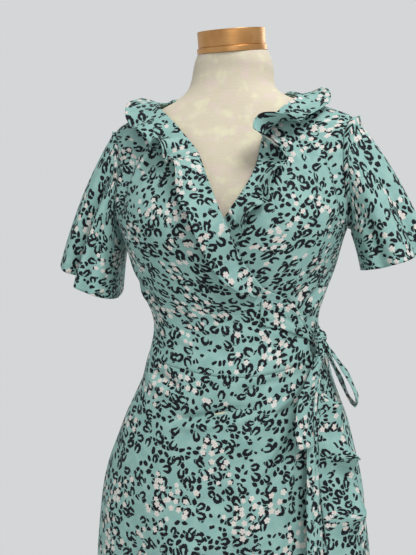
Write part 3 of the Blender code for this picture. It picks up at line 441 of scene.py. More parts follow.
def with_bust(angle, z, radius, bust):
    swell, height, side, wide, up, down = bust
    x = radius * np.sin(angle)
    reach = np.where(z > height, up, down)
    level = np.exp(-0.5 * ((z - height) / reach) ** 2)
    both = sum(np.exp(-0.5 * ((x - place) / wide) ** 2) for place in (-side, side))
    return radius + swell * both * level * ease_in(np.cos(angle), 0.0, 0.55)


def form_radius(angle, z):
    return with_bust(angle, z, section_radius(angle, z, FORM_SECTIONS), FORM_BUST)


def dress_radius(angle, z):
    """Middle of the cloth: where it hangs free, or just outside the form where it rests."""
    free = with_bust(angle, z, section_radius(angle, z, DRESS_SECTIONS), DRESS_BUST)
    free = free + smooth(z, *zip(*HIP_SHIFT)) * np.sin(angle)
    bare = form_radius(angle, z)
    step = 1e-4
    slope = (form_radius(angle, z + step) - form_radius(angle, z - step)) / (2 * step)
    ease = EASE + (SHOULDER_EASE - EASE) * ease_in(z, *RESTING_Z)
    rest = bare + ease * np.sqrt(1 + slope**2)
    return (free + rest + np.sqrt((free - rest) ** 2 + SOFTNESS**2)) / 2


def at(angle, z, radius):
    x = radius * np.sin(angle)
    y = centre_y(z) - radius * np.cos(angle)
    return np.stack([x, y, z + 0 * x], axis=-1)


def outward(angle, z):
    """The dress surface's unit normal."""
    step = 2e-4
    ahead = at(angle + step, z, dress_radius(angle + step, z))
    behind = at(angle - step, z, dress_radius(angle - step, z))
    above = at(angle, z + step, dress_radius(angle, z + step))
    below = at(angle, z - step, dress_radius(angle, z - step))
    normal = np.cross(ahead - behind, above - below)
    return normal / np.linalg.norm(normal, axis=-1, keepdims=True)


def on_dress(places, height):
    """Points at (angle, z) places of the dress's surface, raised by height along its normal."""
    angle = places[..., 0]
    z = places[..., 1]
    return at(angle, z, dress_radius(angle, z)) + outward(angle, z) * height[..., None]


def front_degrees(angle):
    """Degrees round the body, from -90 to 270."""
    return (np.degrees(angle) + 90.0) % 360.0 - 90.0


def seam_z(angle):
    return smooth(front_degrees(angle), *zip(*WAIST_SEAM))


def fold_sum(angle, z, folds):
    degrees = front_degrees(angle)
    reach = 0.17  # metres a radian, near enough all the way down
    total = np.zeros(np.broadcast(angle, z).shape)
    for from_deg, from_z, to_deg, to_z, half_width, depth in folds:
        across = np.radians(degrees - from_deg) * reach
        along = z - from_z
        run_across = math.radians(to_deg - from_deg) * reach
        run_along = to_z - from_z
        length = math.hypot(run_across, run_along)
        share = (across * run_across + along * run_along) / length**2
        off = (across * run_along - along * run_across) / length
        fade = ease_in(share, -0.05, 0.35)
        if to_z > HEM_Z:
            fade = fade * (1 - ease_in(share, 0.75, 1.15))
        spread = half_width * np.clip(0.75 + 0.5 * share, 0.75, 1.25)
        total = total + depth * np.exp(-0.5 * (off / spread) ** 2) * fade
    return total


def from_seams(angle, z):
    """Degrees to the nearest side seam, and height above the waist seam."""
    degrees = front_degrees(angle)
    from_side = np.minimum(np.abs(degrees + 90), np.abs(degrees - 90))
    return np.minimum(from_side, np.abs(degrees - 270)), z - seam_z(angle)


def folds(angle, z):
    """Height of the folds at a place, nothing at the side seams and the waist seam."""
    from_side, from_waist = from_seams(angle, z)
    skirt = fold_sum(angle, z, SKIRT_FOLDS) * ease_in(-from_waist, *WAIST_FADE)
    bodice = fold_sum(angle, z, BODICE_FOLDS) * ease_in(from_waist, *WAIST_FADE)
    return (skirt + bodice) * ease_in(from_side, *SIDE_FADE_DEG)


def under_lift(places):
    return folds(places[..., 0], places[..., 1])


def over_lift(places):
    """The right front lies outside the left front, and meets the back at its own side seam."""
    out = OVER * ease_in(front_degrees(places[..., 0]), -88.0, -68.0)
    return out + under_lift(places)


def clear_of_dress(points, gap, lift=over_lift):
    """The points, moved out where they lie less than gap above the cloth."""
    points = points.copy()
    for _ in range(CLEAR_PASSES):
        z = points[..., 2]
        middle = centre_y(z)
        angle = np.arctan2(points[..., 0], middle - points[..., 1])
        radius = np.hypot(points[..., 0], points[..., 1] - middle)
        normal = outward(angle, z)
        radial = np.stack([np.sin(angle), -np.cos(angle), 0 * angle], axis=-1)
        away = (radius - dress_radius(angle, z)) * (normal * radial).sum(-1)
        least = lift(np.stack([angle, z], axis=-1)) + gap
        points += normal * np.maximum(least - away, 0)[..., None]
    return points


def unit(vectors):
    return vectors / np.linalg.norm(vectors, axis=-1, keepdims=True)


def pulled_in(points, edges, distance=SEAM_GAP / 2):
    """The grid with its sewn edges, by name, moved inwards square to themselves."""
    points = points.copy()
    sides = {
        "first_row": (points[0], points[1]),
        "last_row": (points[-1], points[-2]),
        "first_column": (points[:, 0], points[:, 1]),
        "last_column": (points[:, -1], points[:, -2]),
    }
    for edge in edges:
        line, inner = sides[edge]
        tangent = unit(np.gradient(line, axis=0))
        inwards = inner - line
        inwards = inwards - tangent * (inwards * tangent).sum(-1, keepdims=True)
        line += unit(inwards) * distance
    return points


def patch(left, right, bottom, top):
    """Places between four edges that meet at their ends."""
    u = np.linspace(0, 1, len(bottom))[None, :, None]
    v = np.linspace(0, 1, len(left))[:, None, None]
    sides = left[:, None] * (1 - u) + right[:, None] * u
    ends = bottom[None] * (1 - v) + top[None] * v
    lower = left[0] * (1 - u) + right[0] * u
    upper = left[-1] * (1 - u) + right[-1] * u
    return sides + ends - lower * (1 - v) - upper * v


# ---------------------------------------------------------------- the visual surface
def crease_height(angle, z):
    """Height of the finer creases, with nothing at the side seams and the waist seam."""
    from_side, from_waist = from_seams(angle, z)
    skirt = SKIRT_FOLD_DEPTH * fold_sum(angle, z, SKIRT_CREASES) * ease_in(-from_waist, *CREASE_WAIST_FADE)
    bodice = BODICE_FOLD_DEPTH * fold_sum(angle, z, BODICE_CREASES) * ease_in(from_waist, *CREASE_WAIST_FADE)
    return (skirt + bodice) * ease_in(from_side, *CREASE_SIDE_FADE_DEG)


def unevenness(places):
    """Slow, small swells that keep the cloth from looking turned."""
    angle, z = places[..., 0], places[..., 1]
    waves = np.sin(angle * 5.0 + 1.3 + 9.0 * z) * np.sin(z * 31.0 + 2.0 * np.sin(angle * 3.0))
    return 0.0009 * waves + 0.0005 * np.sin(angle * 13.0 + z * 55.0)


def under_fine(places):
    lift = under_lift(places) + crease_height(places[..., 0], places[..., 1])
    return lift + unevenness(places)


def over_fine(places):
    lift = over_lift(places) + crease_height(places[..., 0], places[..., 1])
    return lift + unevenness(places)


def arc_lengths(points, axis):
    steps = np.linalg.norm(np.diff(points, axis=axis), axis=-1)
    start = np.zeros_like(np.take(steps, [0], axis=axis))
    return np.cumsum(np.concatenate([start, steps], axis=axis), axis=axis)


def flat_map(points, middle, origin, hung=False):
    """Flat coordinates in metres for a grid: along its rows, and up its columns."""
    along = arc_lengths(points, 1)
    column = int(round(middle * (points.shape[1] - 1)))
    along = along - along[:, column : column + 1]
    up = arc_lengths(points, 0)
    up = up * 0.25 + up.mean(axis=1, keepdims=True) * 0.75
    if hung:
        up = up - up[-1:]
    return np.stack([along + origin[0], up + origin[1]], axis=-1)


def edge_distance(points, free):
    """Distance of each point to the nearest of the named free edges, in metres."""
    far = np.full(points.shape[:2], 1.0)
    up = arc_lengths(points, 0)
    along = arc_lengths(points, 1)
    if "first_row" in free:
        far = np.minimum(far, up)
    if "last_row" in free:
        far = np.minimum(far, up[-1:] - up)
    if "first_column" in free:
        far = np.minimum(far, along)
    if "last_column" in free:
        far = np.minimum(far, along[:, -1:] - along)
    return far


def grid_faces(rows, columns, closed=True):
    """Each face's corners, as (row, column) places, and the faces as lists of point numbers."""
    wide = columns if closed else columns - 1
    i, j = np.meshgrid(np.arange(rows - 1), np.arange(wide), indexing="ij")
    corners = [(i, j), (i, j + 1), (i + 1, j + 1), (i + 1, j)]
    numbers = [row * columns + column % columns for row, column in corners]
    return corners, np.stack(numbers, axis=-1).reshape(-1, 4).tolist()


def cloth(name, points, node, sizes, rests_on, flat, hems=(), closed=False, cloth_map=None):
    """A thin shell on a grid of points, which stands for a CAD node."""
    corners, faces = grid_faces(*points.shape[:2], closed)
    mesh = bpy.data.meshes.new("crepe_" + name)
    mesh.from_pydata(points.reshape(-1, 3).tolist(), [], faces)
    span = points if not closed else np.concatenate([points, points[:, :1]], axis=1)
    flat_places = cloth_map if cloth_map is not None else flat_map(span, *sizes)
    uv = np.stack([flat_places[r, c] for r, c in corners], axis=2).reshape(-1, 2)
    layer = mesh.uv_layers.new(name="cloth")
    layer.data.foreach_set("uv", uv.ravel().astype(np.float32))
    edge = mesh.attributes.new("edge", "FLOAT", "POINT")
    edge.data.foreach_set("value", edge_distance(points, hems).ravel().astype(np.float32))
    mesh.polygons.foreach_set("use_smooth", np.ones(len(mesh.polygons), bool))
    piece = bpy.data.objects.new("crepe_" + name, mesh)
    bpy.context.scene.collection.objects.link(piece)
    wall = piece.modifiers.new("wall", "SOLIDIFY")
    wall.thickness = CLOTH
    wall.offset = 0.0
    mesh.materials.append(MATERIALS["crepe"])
    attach(piece, "root")
    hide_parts(node)
    width, length = flat
    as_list(rests_on)
    return piece


def steps_for(length):
    return max(6, int(math.ceil(length / GRID)))


def armhole(side, half, steps):
    t = np.linspace(0, 1, steps + 1)
    bulge = ARMHOLE_HALF_DEG * np.sin(np.pi * t) ** 0.75
    z = UNDERARM_Z + (SHOULDER_Z - UNDERARM_Z) * (1 - np.cos(np.pi * t)) / 2
    return np.stack([np.radians(side * (90 - half * bulge)), z], axis=-1)


def side_edge(side, half):
    angle = math.radians(side * 90)
    seam = np.linspace(float(seam_z(angle)), UNDERARM_Z, SIDE_SEAM_STEPS + 1)
    below = np.stack([np.full_like(seam, angle), seam], axis=-1)
    return np.concatenate([below[:-1], armhole(side, half, ARMHOLE_STEPS)])


def waist_edge(from_deg, to_deg, steps):
    angle = np.radians(np.linspace(from_deg, to_deg, steps + 1))
    return np.stack([angle, seam_z(angle)], axis=-1)


def front_bodice(name, side, neckline, edge_deg, lift, rests_on, origin, flat):
    outer = side_edge(side, 1)
    inner = along_path(neckline, np.linspace(1, 0, len(outer)))
    waist = waist_edge(side * 90, edge_deg, FRONT_STEPS)
    inner[0] = waist[-1]
    t = np.linspace(0, 1, FRONT_STEPS + 1)[:, None]
    shoulder = outer[-1] * (1 - t) + inner[-1] * t
    places = patch(outer, inner, waist, shoulder)
    points = on_dress(places, lift(places))
    points = pulled_in(points, ("first_row", "last_row", "first_column"))
    if side > 0:
        points = points[:, ::-1]
    return cloth(name, points, name, (0.5, origin), rests_on, flat)


def back_bodice():
    left = side_edge(1, -1)
    rise = np.linspace(SHOULDER_Z, NECK_SIDE_Z, NECK_RISE_STEPS + 1)[1:]
    left = np.concatenate([left, np.stack([np.full_like(rise, math.pi / 2), rise], axis=-1)])
    right = left * (-1, 1) + (2 * math.pi, 0)
    neck = along_path(BACK_NECK, np.linspace(1, 0, BACK_STEPS + 1)) + (2 * math.pi, 0)
    places = patch(left, right, waist_edge(90, 270, BACK_STEPS), neck)
    points = on_dress(places, under_fine(places))
    points = pulled_in(points, ("first_row", "first_column", "last_column"))
    return cloth(
        "bodice_back", points, "bodice_back", (0.5, (0.9, 0.35)), ["form_torso"], (0.46, 0.46)
    )


def wrap_edge(below):
    return smooth(below, *zip(*WRAP_EDGE))


def skirt_angle(columns, z):
    edge = wrap_edge(seam_z(np.radians(columns)) - z)
    within = (columns + 90) * (edge + 90) / (WRAP_EDGE_DEG + 90) - 90
    beyond = edge + (columns - WRAP_EDGE_DEG) * (90 - edge) / (90 - WRAP_EDGE_DEG)
    front = np.where(columns <= WRAP_EDGE_DEG, within, beyond)
    return np.radians(np.where(columns <= 90, front, columns))


def skirt(name, from_deg, to_deg, lift, sewn, hems, origin, rests_on, flat):
    columns = np.linspace(from_deg, to_deg, steps_for(math.radians(to_deg - from_deg) * 0.19) + 1)
    v = np.linspace(0, 1, SKIRT_STEPS + 1)[:, None]
    z = seam_z(np.radians(columns)) * (1 - v) + HEM_Z * v
    places = np.stack([skirt_angle(columns, z), z], axis=-1)
    points = on_dress(places, lift(places))
    points = pulled_in(points, ("first_row",) + sewn)[::-1]
    return cloth(name, points, name, (0.5, origin, True), rests_on, flat, hems=hems)


def sleeve(name, sizes, hem_folds, origin, flat):
    side, out, half_out, front, back, hem_z, z_out, z_back = sizes
    front_places = armhole(side, 1, SLEEVE_HALF_STEPS)
    back_places = armhole(side, -1, SLEEVE_HALF_STEPS)[1:-1][::-1]
    front_lift = over_lift if side < 0 else under_lift
    lifts = np.concatenate([front_lift(front_places), under_lift(back_places)])
    places = np.concatenate([front_places, back_places])
    ring = on_dress(places, lifts)
    tangent = unit(np.roll(ring, -1, axis=0) - np.roll(ring, 1, axis=0))
    inwards = unit(np.cross(tangent, outward(places[:, 0], places[:, 1]))) * side
    inwards *= np.sign((inwards * (ring.mean(0) - ring)).sum(-1, keepdims=True))
    start = ring + inwards * (SEAM_GAP + CLOTH / 2)
    half_turn = np.linspace(0, 180, SLEEVE_HALF_STEPS + 1)
    turn = np.concatenate([np.linspace(180, 0, SLEEVE_HALF_STEPS + 1), -half_turn[1:-1]])
    reach = np.ones_like(turn)
    for degrees, half_width, share in hem_folds + SLEEVE_CREASES:
        reach = reach + share * np.exp(-0.5 * ((turn - degrees) / half_width) ** 2)
    phi = np.radians(turn)
    hem = np.stack(
        [
            side * (out + half_out * reach * np.cos(phi)),
            -np.where(phi > 0, front, back) * reach * np.sin(phi),
            hem_z + z_out * np.cos(phi) - z_back * np.sin(phi),
        ],
        axis=-1,
    )
    normal = outward(places[:, 0], places[:, 1])
    stood = start + normal * SLEEVE_STAND * 0.5
    bend = stood + (hem - stood) * (SLEEVE_SWING, SLEEVE_SWING, SLEEVE_DROP)
    t = np.linspace(0, 1, SLEEVE_STEPS + 1)[:, None, None]
    points = stood * (1 - t) ** 2 + bend * 2 * t * (1 - t) + hem * t**2
    down = arc_lengths(points, 0)
    wave = np.sin(np.arange(len(turn)) * 2 * np.pi * GATHERS / len(turn))
    wave = wave * (0.6 + 0.4 * np.sin(np.arange(len(turn)) * 0.37))
    small = GATHER_HEIGHT * wave[None] * np.exp(-down / GATHER_FADE) * ease_in(down, 0.0, 0.006)
    points = points + normal[None] * small[..., None]
    points[1:] = clear_of_dress(points[1:], SLEEVE_CLEAR)
    points = np.concatenate([start[None], points])[::-1]
    return cloth(
        name, points, name, (0.5, origin), ["bodice_back"], flat, hems=("first_row",), closed=True
    )


# ---------------------------------------------------------------- ruffles
def ruffle_path():
    right = [place for place in NECKLINE_RIGHT if place[0] <= 30][::-1]
    left = [(degrees - 360, z) for degrees, z in NECKLINE_LEFT if degrees >= 3]
    return right + list(BACK_NECK[1:-1]) + left


def ruffle_points():
    """The whole ruffle as a grid, with the angle along its sewn edge and its flat map."""
    dense = along_path(ruffle_path(), np.linspace(0, 1, 3000))
    limits = (RUFFLE_WIDE[0][0], RUFFLE_WIDE[-1][0])
    keep = (np.degrees(dense[:, 0]) <= limits[0]) & (np.degrees(dense[:, 0]) >= limits[1])
    dense = dense[keep]
    line = on_dress(dense, over_lift(dense) + RUFFLE_BASE)
    lengths = np.concatenate([[0], np.cumsum(np.linalg.norm(np.diff(line, axis=0), axis=1))])
    s = np.linspace(0, lengths[-1], int(lengths[-1] / RUFFLE_STEP) + 1)
    places = np.stack([np.interp(s, lengths, dense[:, k]) for k in (0, 1)], axis=-1)
    base_lift = np.where(places[:, 0] > math.radians(-89.9), over_lift(places), under_lift(places))
    base = on_dress(places, base_lift + RUFFLE_BASE)
    degrees = np.degrees(places[:, 0])
    sizes = np.array(RUFFLE_SIZES, float)[::-1]
    width, stand, sway = [smooth(degrees, sizes[:, 0], sizes[:, k]) for k in (1, 2, 3)]
    tangent = unit(np.gradient(base, axis=0))
    normal = outward(places[:, 0], places[:, 1])
    across = unit(np.cross(normal, tangent))
    wide, roll = [smooth(degrees, *zip(*table[::-1])) for table in (RUFFLE_WIDE, RUFFLE_ROLL)]
    width = width * 0.4 + wide * 0.6
    edge_phase = 2 * np.pi * s / EDGE_WAVE + 1.7 * np.sin(s * 31.0)
    gathers = RUFFLE_GATHER_HEIGHT * np.sin(2 * np.pi * s / RUFFLE_GATHER)
    slope = np.gradient(roll, s)
    rows = []
    for share in np.linspace(0, 1, RUFFLE_WIDTH_STEPS + 1):
        turn = np.radians(roll * (0.55 + 0.45 * share))
        out = share * width * np.cos(turn)
        up = share * width * np.sin(turn)
        up = up + EDGE_LIFT * share**3 * np.sin(edge_phase) + gathers * share * (1 - share) * 2
        slide = share * (sway - np.clip(slope * 4.0e-6, -0.008, 0.008))
        rows.append(base + across * out[:, None] + normal * up[:, None] + tangent * slide[:, None])
    grid = np.stack(rows)
    grid[1:] = clear_of_dress(grid[1:], RUFFLE_CLEAR * 0.8)
    around = np.broadcast_to(s * 1.12 + 0.2, grid.shape[:2])
    out = arc_lengths(grid, 0)
    return grid, degrees, np.stack([around, out], axis=-1)


def neck_ruffles():
    grid, degrees, places = ruffle_points()
    first = int(np.argmin(np.abs(degrees + 90)))
    second = int(np.argmin(np.abs(degrees + 270)))
    lengths = (
        ("ruffle_right_front", slice(0, first + 1), ("last_column",), (0.05, 0.52)),
        ("ruffle_back_neck", slice(first, second + 1), ("first_column", "last_column"), (0.05, 0.34)),
        ("ruffle_left_front", slice(second, None), ("first_column",), (0.05, 0.38)),
    )
    for name, part, sewn, flat in lengths:
        points = pulled_in(grid[:, part], sewn, SEAM_GAP)
        cloth(
            name, points, name, None, ["bodice_right_front"], flat,
            hems=("last_row",), cloth_map=places[:, part],
        )


def flounce():
    z = np.linspace(FLOUNCE_TOP_Z, HEM_Z, FLOUNCE_STEPS + 1)
    waist = seam_z(math.radians(WRAP_EDGE_DEG))
    places = np.stack([np.radians(wrap_edge(waist - z)), z], axis=-1)
    base = on_dress(places, over_lift(places) + RUFFLE_BASE)
    width = smooth(z, *zip(*FLOUNCE_WIDTHS))
    tangent = unit(np.gradient(base, axis=0))
    normal = outward(places[:, 0], places[:, 1])
    across = unit(np.cross(normal, tangent))
    across *= np.sign(across[:, :1])
    s = FLOUNCE_TOP_Z - z
    phase = 2 * np.pi * (s / FLOUNCE_WAVE + 0.25 * np.sin(s * 8.0))
    edge_phase = 2 * np.pi * s / 0.027 + 1.7 * np.sin(s * 31.0)
    rows = []
    for share in np.linspace(0, 1, RUFFLE_WIDTH_STEPS + 1):
        out = share * width
        up = share * FLOUNCE_STAND * (1.0 + np.sin(phase)) * np.clip(width / 0.05, 0, 1)
        up = up + EDGE_LIFT * share**3 * np.sin(edge_phase)
        slide = share * FLOUNCE_CURL * np.cos(phase)
        rows.append(base + across * out[:, None] + normal * up[:, None] + tangent * slide[:, None])
    grid = clear_of_dress(np.stack(rows), RUFFLE_BASE)
    places = np.stack([np.broadcast_to(s * 1.2, grid.shape[:2]), arc_lengths(grid, 0)], axis=-1)
    return cloth(
        "skirt_flounce", grid, "skirt_flounce", None, ["skirt_right_front"], (0.06, 0.60),
        hems=("last_row",), cloth_map=places,
    )


# ---------------------------------------------------------------- ties and bow
def tie(name, table, lift, gap, rests_on, flat):
    degrees, heights, halves = np.array(table, float).T
    order = np.argsort(degrees)
    ends = degrees[order[[0, -1]]]
    run = np.linspace(ends[0], ends[1], steps_for(math.radians(ends[1] - ends[0]) * 0.14) + 1)
    z = smooth(run, degrees[order], heights[order])
    half = smooth(run, degrees[order], halves[order])
    rows = []
    for share in np.linspace(-1, 1, TIE_WIDTH_STEPS + 1):
        places = np.stack([np.radians(run), z + share * half], axis=-1)
        ridge = 0.0006 * np.sin(share * 8.0 + run * 0.09)
        rows.append(on_dress(places, lift(places) + gap + ridge))
    return cloth(name, np.stack(rows), name, (0.5, (0.3, 0.7)), rests_on, flat,
                 hems=("first_row", "last_row"))


def closed_tube(name, points):
    """A mesh on rings of points, with a flat face at each end."""
    rows, columns = points.shape[:2]
    ends = [list(range(columns))[::-1], list(range((rows - 1) * columns, rows * columns))]
    mesh = bpy.data.meshes.new(name)
    mesh.from_pydata(points.reshape(-1, 3).tolist(), [], grid_faces(rows, columns)[1] + ends)
    return mesh


def knot_frame():
    place = np.array([[math.radians(KNOT_PLACE[0]), KNOT_PLACE[1]]])
    middle = on_dress(place, np.array([KNOT_LIFT]))[0]
    out = outward(place[:, 0], place[:, 1])[0] * (1, 1, 0)
    out /= np.linalg.norm(out)
    up = np.array([0.0, 0.0, 1.0])
    return middle, np.cross(up, out), out, up


def knot():
    """The knot, a rolled band of cloth with the creases of its pull."""
    middle, along, out, up = knot_frame()
    turns = np.linspace(0, 2 * np.pi, 73)[:-1]
    lean = np.linspace(0.02, np.pi - 0.02, 41)
    a, b = np.meshgrid(lean, turns, indexing="ij")
    crease = 0.055 * np.sin(5 * b + 2.2 * np.cos(a) * 2.0) + 0.035 * np.sin(11 * b + 1.5 + 3 * np.cos(a))
    size = 1.0 + crease * np.sin(a) ** 0.7
    pinch = 1.0 - 0.10 * np.exp(-0.5 * ((b - 1.2) / 0.25) ** 2)
    size = size * pinch
    local = np.stack(
        [np.cos(a), np.sin(a) * np.cos(b) * size, np.sin(a) * np.sin(b) * size], axis=-1
    ) * KNOT_HALF
    points = middle + local[..., :1] * along + local[..., 1:2] * out + local[..., 2:] * up
    mesh = closed_tube("tie_knot", points)
    layer = mesh.uv_layers.new(name="cloth")
    flat = np.stack([b * 0.016 + 0.31, a * 0.010 + 0.44], axis=-1).reshape(-1, 2)
    for loop in mesh.loops:
        layer.data[loop.index].uv = flat[loop.vertex_index]
    edge = mesh.attributes.new("edge", "FLOAT", "POINT")
    edge.data.foreach_set("value", np.ones(len(mesh.vertices), np.float32))
    mesh.polygons.foreach_set("use_smooth", np.ones(len(mesh.polygons), bool))
    mesh.materials.append(MATERIALS["crepe"])
    return add_solid("crepe_tie_knot", mesh, "tie_knot", "crepe")


def add_solid(name, mesh, node, slot_name):
    piece = bpy.data.objects.new(name, mesh)
    bpy.context.scene.collection.objects.link(piece)
    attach(piece, "root")
    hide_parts(node)
    return piece


def knot_underside(along, out, half_width):
    middle, along_way, out_way, up_way = knot_frame()
    nearest_along = max(abs(along) - half_width, 0.0)
    nearest_out = max(abs(out) - WALL / 2, 0.0)
    share = (nearest_along / KNOT_HALF[0]) ** 2 + (nearest_out / KNOT_HALF[1]) ** 2
    down = KNOT_HALF[2] * math.sqrt(1 - share) - 0.004
    return middle + along * along_way + out * out_way - down * up_way


def hanging(name, table, flat, origin, cup=0.10):
    degrees, heights, gaps, halves = np.array(table, float).T
    steps = np.hypot(np.diff(heights), np.diff(gaps)) + np.abs(np.diff(degrees)) * 0.002
    shares = np.concatenate([[0], np.cumsum(steps)]) / steps.sum()
    t = np.linspace(0, 1, HANGING_STEPS + 1)
    run, z, gap, half = [smooth(t, shares, column) for column in (degrees, heights, gaps, halves)]
    places = np.stack([np.radians(run), z], axis=-1)
    for _ in range(4):
        lift = OVER + RIDGES * ease_in(KNOT_PLACE[1] - places[:, 1], 0.02, 0.07)
        line = on_dress(places, lift + gap)
        places[:, 1] += z - line[:, 2]
    ends = KNOT_ENDS[name]
    line[0] = knot_underside(*ends[0], half[0])
    if len(ends) > 1:
        line[-1] = knot_underside(*ends[1], half[-1])
    sideways = np.stack([np.cos(places[:, 0]), np.sin(places[:, 0]), 0 * run], axis=-1)
    along = unit(np.gradient(line, axis=0))
    facing = unit(np.cross(sideways, along))
    facing *= np.sign(facing[len(facing) // 3, :2] @ line[len(line) // 3, :2])
    columns = []
    for share in np.linspace(-1, 1, HANGING_WIDTH_STEPS + 1):
        wave = 0.0007 * np.sin(share * 5.0 + t * 30.0)
        dip = (cup * half * (share**2 - 0.4))[:, None] + wave[:, None]
        columns.append(line + (share * half)[:, None] * sideways - dip * facing)
    points = np.stack(columns, axis=1)
    return cloth(name, points, name, (0.5, origin), ["tie_knot"], flat,
                 hems=("first_column", "last_column"))


# ---------------------------------------------------------------- form and stand
def torso():
    heights = [row[0] for row in FORM_SECTIONS]
    rows = np.interp(np.linspace(0, len(heights) - 1, 190), np.arange(len(heights)), heights)[:, None]
    steps = 144
    angle = (np.arange(steps) * 2 * np.pi / steps)[None]
    points = at(angle, rows, form_radius(angle, rows))
    tilt = math.tan(NECK_TILT) * ease_in(rows, NECK_TILT_FROM_Z, NECK_TOP_Z)
    points[..., 2] += tilt * (points[..., 1] - centre_y(rows))
    points[..., 0] += NECK_ASIDE * ease_in(rows, *NECK_ASIDE_FROM_TO)
    mesh = closed_tube("form_torso", points)
    count = len(mesh.polygons)
    mesh.polygons.foreach_set("use_smooth", np.arange(count) < count - 2)
    mesh.materials.append(MATERIALS["canvas"])
    return add_solid("torso", mesh, "form_torso", "canvas")


def turned(name, profile, node, slot_name, place=None, steps=128):
    """A turned part from (radius, height) points, with small rounded corners."""
    made = bmesh.new()
    rings = []
    for radius, z in rounded(profile):
        angle = np.arange(steps) * 2 * np.pi / steps
        ring = [made.verts.new((radius * math.cos(a), radius * math.sin(a), z)) for a in angle]
        rings.append(ring)
    for upper, lower in zip(rings[:-1], rings[1:]):
        for k in range(steps):
            after = (k + 1) % steps
            face = made.faces.new((upper[k], lower[k], lower[after], upper[after]))
            face.smooth = True
    made.faces.new(rings[0])
    made.faces.new(rings[-1][::-1])
    if place is not None:
        bmesh.ops.transform(made, matrix=place, verts=made.verts)
    bmesh.ops.recalc_face_normals(made, faces=made.faces)
    mesh = bpy.data.meshes.new(name)
    made.to_mesh(mesh)
    made.free()
    mesh.materials.append(MATERIALS[slot_name])
    mesh.set_sharp_from_angle(angle=math.radians(35))
    return add_solid(name, mesh, node, slot_name)


def rounded(profile, size=0.0008, parts=4):
    """The profile with each inner corner replaced by a small arc."""
    points = [Vector((r, z)) for r, z in profile]
    made = [points[0]]
    for before, corner, after in zip(points[:-2], points[1:-1], points[2:]):
        cut = min(size, (before - corner).length * 0.4, (after - corner).length * 0.4)
        start = corner + (before - corner).normalized() * cut
        end = corner + (after - corner).normalized() * cut
        for k in range(parts + 1):
            t = k / parts
            made.append(start * (1 - t) ** 2 + corner * 2 * t * (1 - t) + end * t**2)
    made.append(points[-1])
    return [(p.x, p.y) for p in made]


def neck_cap():
    groove_top = CAP_RING_HEIGHT + CAP_GROOVE
    inner = CAP_RADIUS - CAP_GROOVE
    lean = Matrix.Rotation(NECK_TILT, 4, "X")
    foot = Vector((NECK_ASIDE, float(centre_y(NECK_TOP_Z)), NECK_TOP_Z)) + lean @ Vector((0, 0, SEAT))
    return turned(
        "cap",
        (
            (0.0010, CAP_HEIGHT),
            (CAP_RADIUS, CAP_HEIGHT),
            (CAP_RADIUS, groove_top),
            (inner, groove_top),
            (inner, CAP_RING_HEIGHT),
            (CAP_RING_RADIUS, CAP_RING_HEIGHT),
            (CAP_RING_RADIUS, 0.0),
            (0.0010, 0.0),
        ),
        "neck_cap",
        "copper",
        Matrix.Translation(foot) @ lean,
    )


def stand():
    collar_bottom = FORM_BOTTOM_Z - SEAT - COLLAR_HEIGHT
    turned(
        "collar",
        (
            (0.001, COLLAR_HEIGHT),
            (COLLAR_RADIUS, COLLAR_HEIGHT),
            (COLLAR_RADIUS, COLLAR_HEIGHT * 0.7),
            (COLLAR_RADIUS * 0.6, 0.0),
            (0.001, 0.0),
        ),
        "form_collar",
        "steel",
        Matrix.Translation((0, 0, collar_bottom)),
    )
    base_top = BASE_CROWN + BASE_BOSS
    turned(
        "base",
        (
            (0.001, base_top),
            (COLLAR_RADIUS * 0.7, base_top),
            (COLLAR_RADIUS, base_top - 0.004),
            (COLLAR_RADIUS * 1.1, BASE_CROWN),
            (BASE_RADIUS * 0.6, BASE_CROWN * 0.85),
            (BASE_RADIUS - 0.004, 0.008),
            (BASE_RADIUS, 0.004),
            (BASE_RADIUS, 0.0),
            (0.001, 0.0),
        ),
        "stand_base",
        "steel",
    )
    turned(
        "pole",
        ((0.001, collar_bottom), (POLE_RADIUS, collar_bottom), (POLE_RADIUS, base_top), (0.001, base_top)),
        "stand_pole",
        "steel",
        steps=64,
    )


# ---------------------------------------------------------------- materials
TEAL = (0.215, 0.372, 0.345)
TEAL_LIGHT = (0.268, 0.425, 0.392)
INK = (0.0045, 0.0052, 0.0085)
PETAL = (0.600, 0.580, 0.545)
PETAL_WARM = (0.570, 0.510, 0.470)
CREAM = (0.560, 0.500, 0.385)
CREAM_PINK = (0.585, 0.490, 0.425)
CREAM_YELLOW = (0.620, 0.580, 0.420)
COPPER = (0.500, 0.250, 0.090)
COPPER_PALE = (0.640, 0.360, 0.150)
STEEL = (0.560, 0.560, 0.550)

ROSETTE_CELL = 0.0192
ROSETTE_RADIUS = 0.0049
ROSETTE_STROKE = 0.0028
SPOT_CELL = 0.0106
SPOT_RADIUS = 0.0050
FLOWER_CELL = 0.0125
FLOWER_RADIUS = 0.0051
PRINT_DRIFT = 0.0035  # how far the marks are pushed out of true
MARK_EDGE = 0.0003  # half the blur at the edge of a mark

MATERIALS = {}


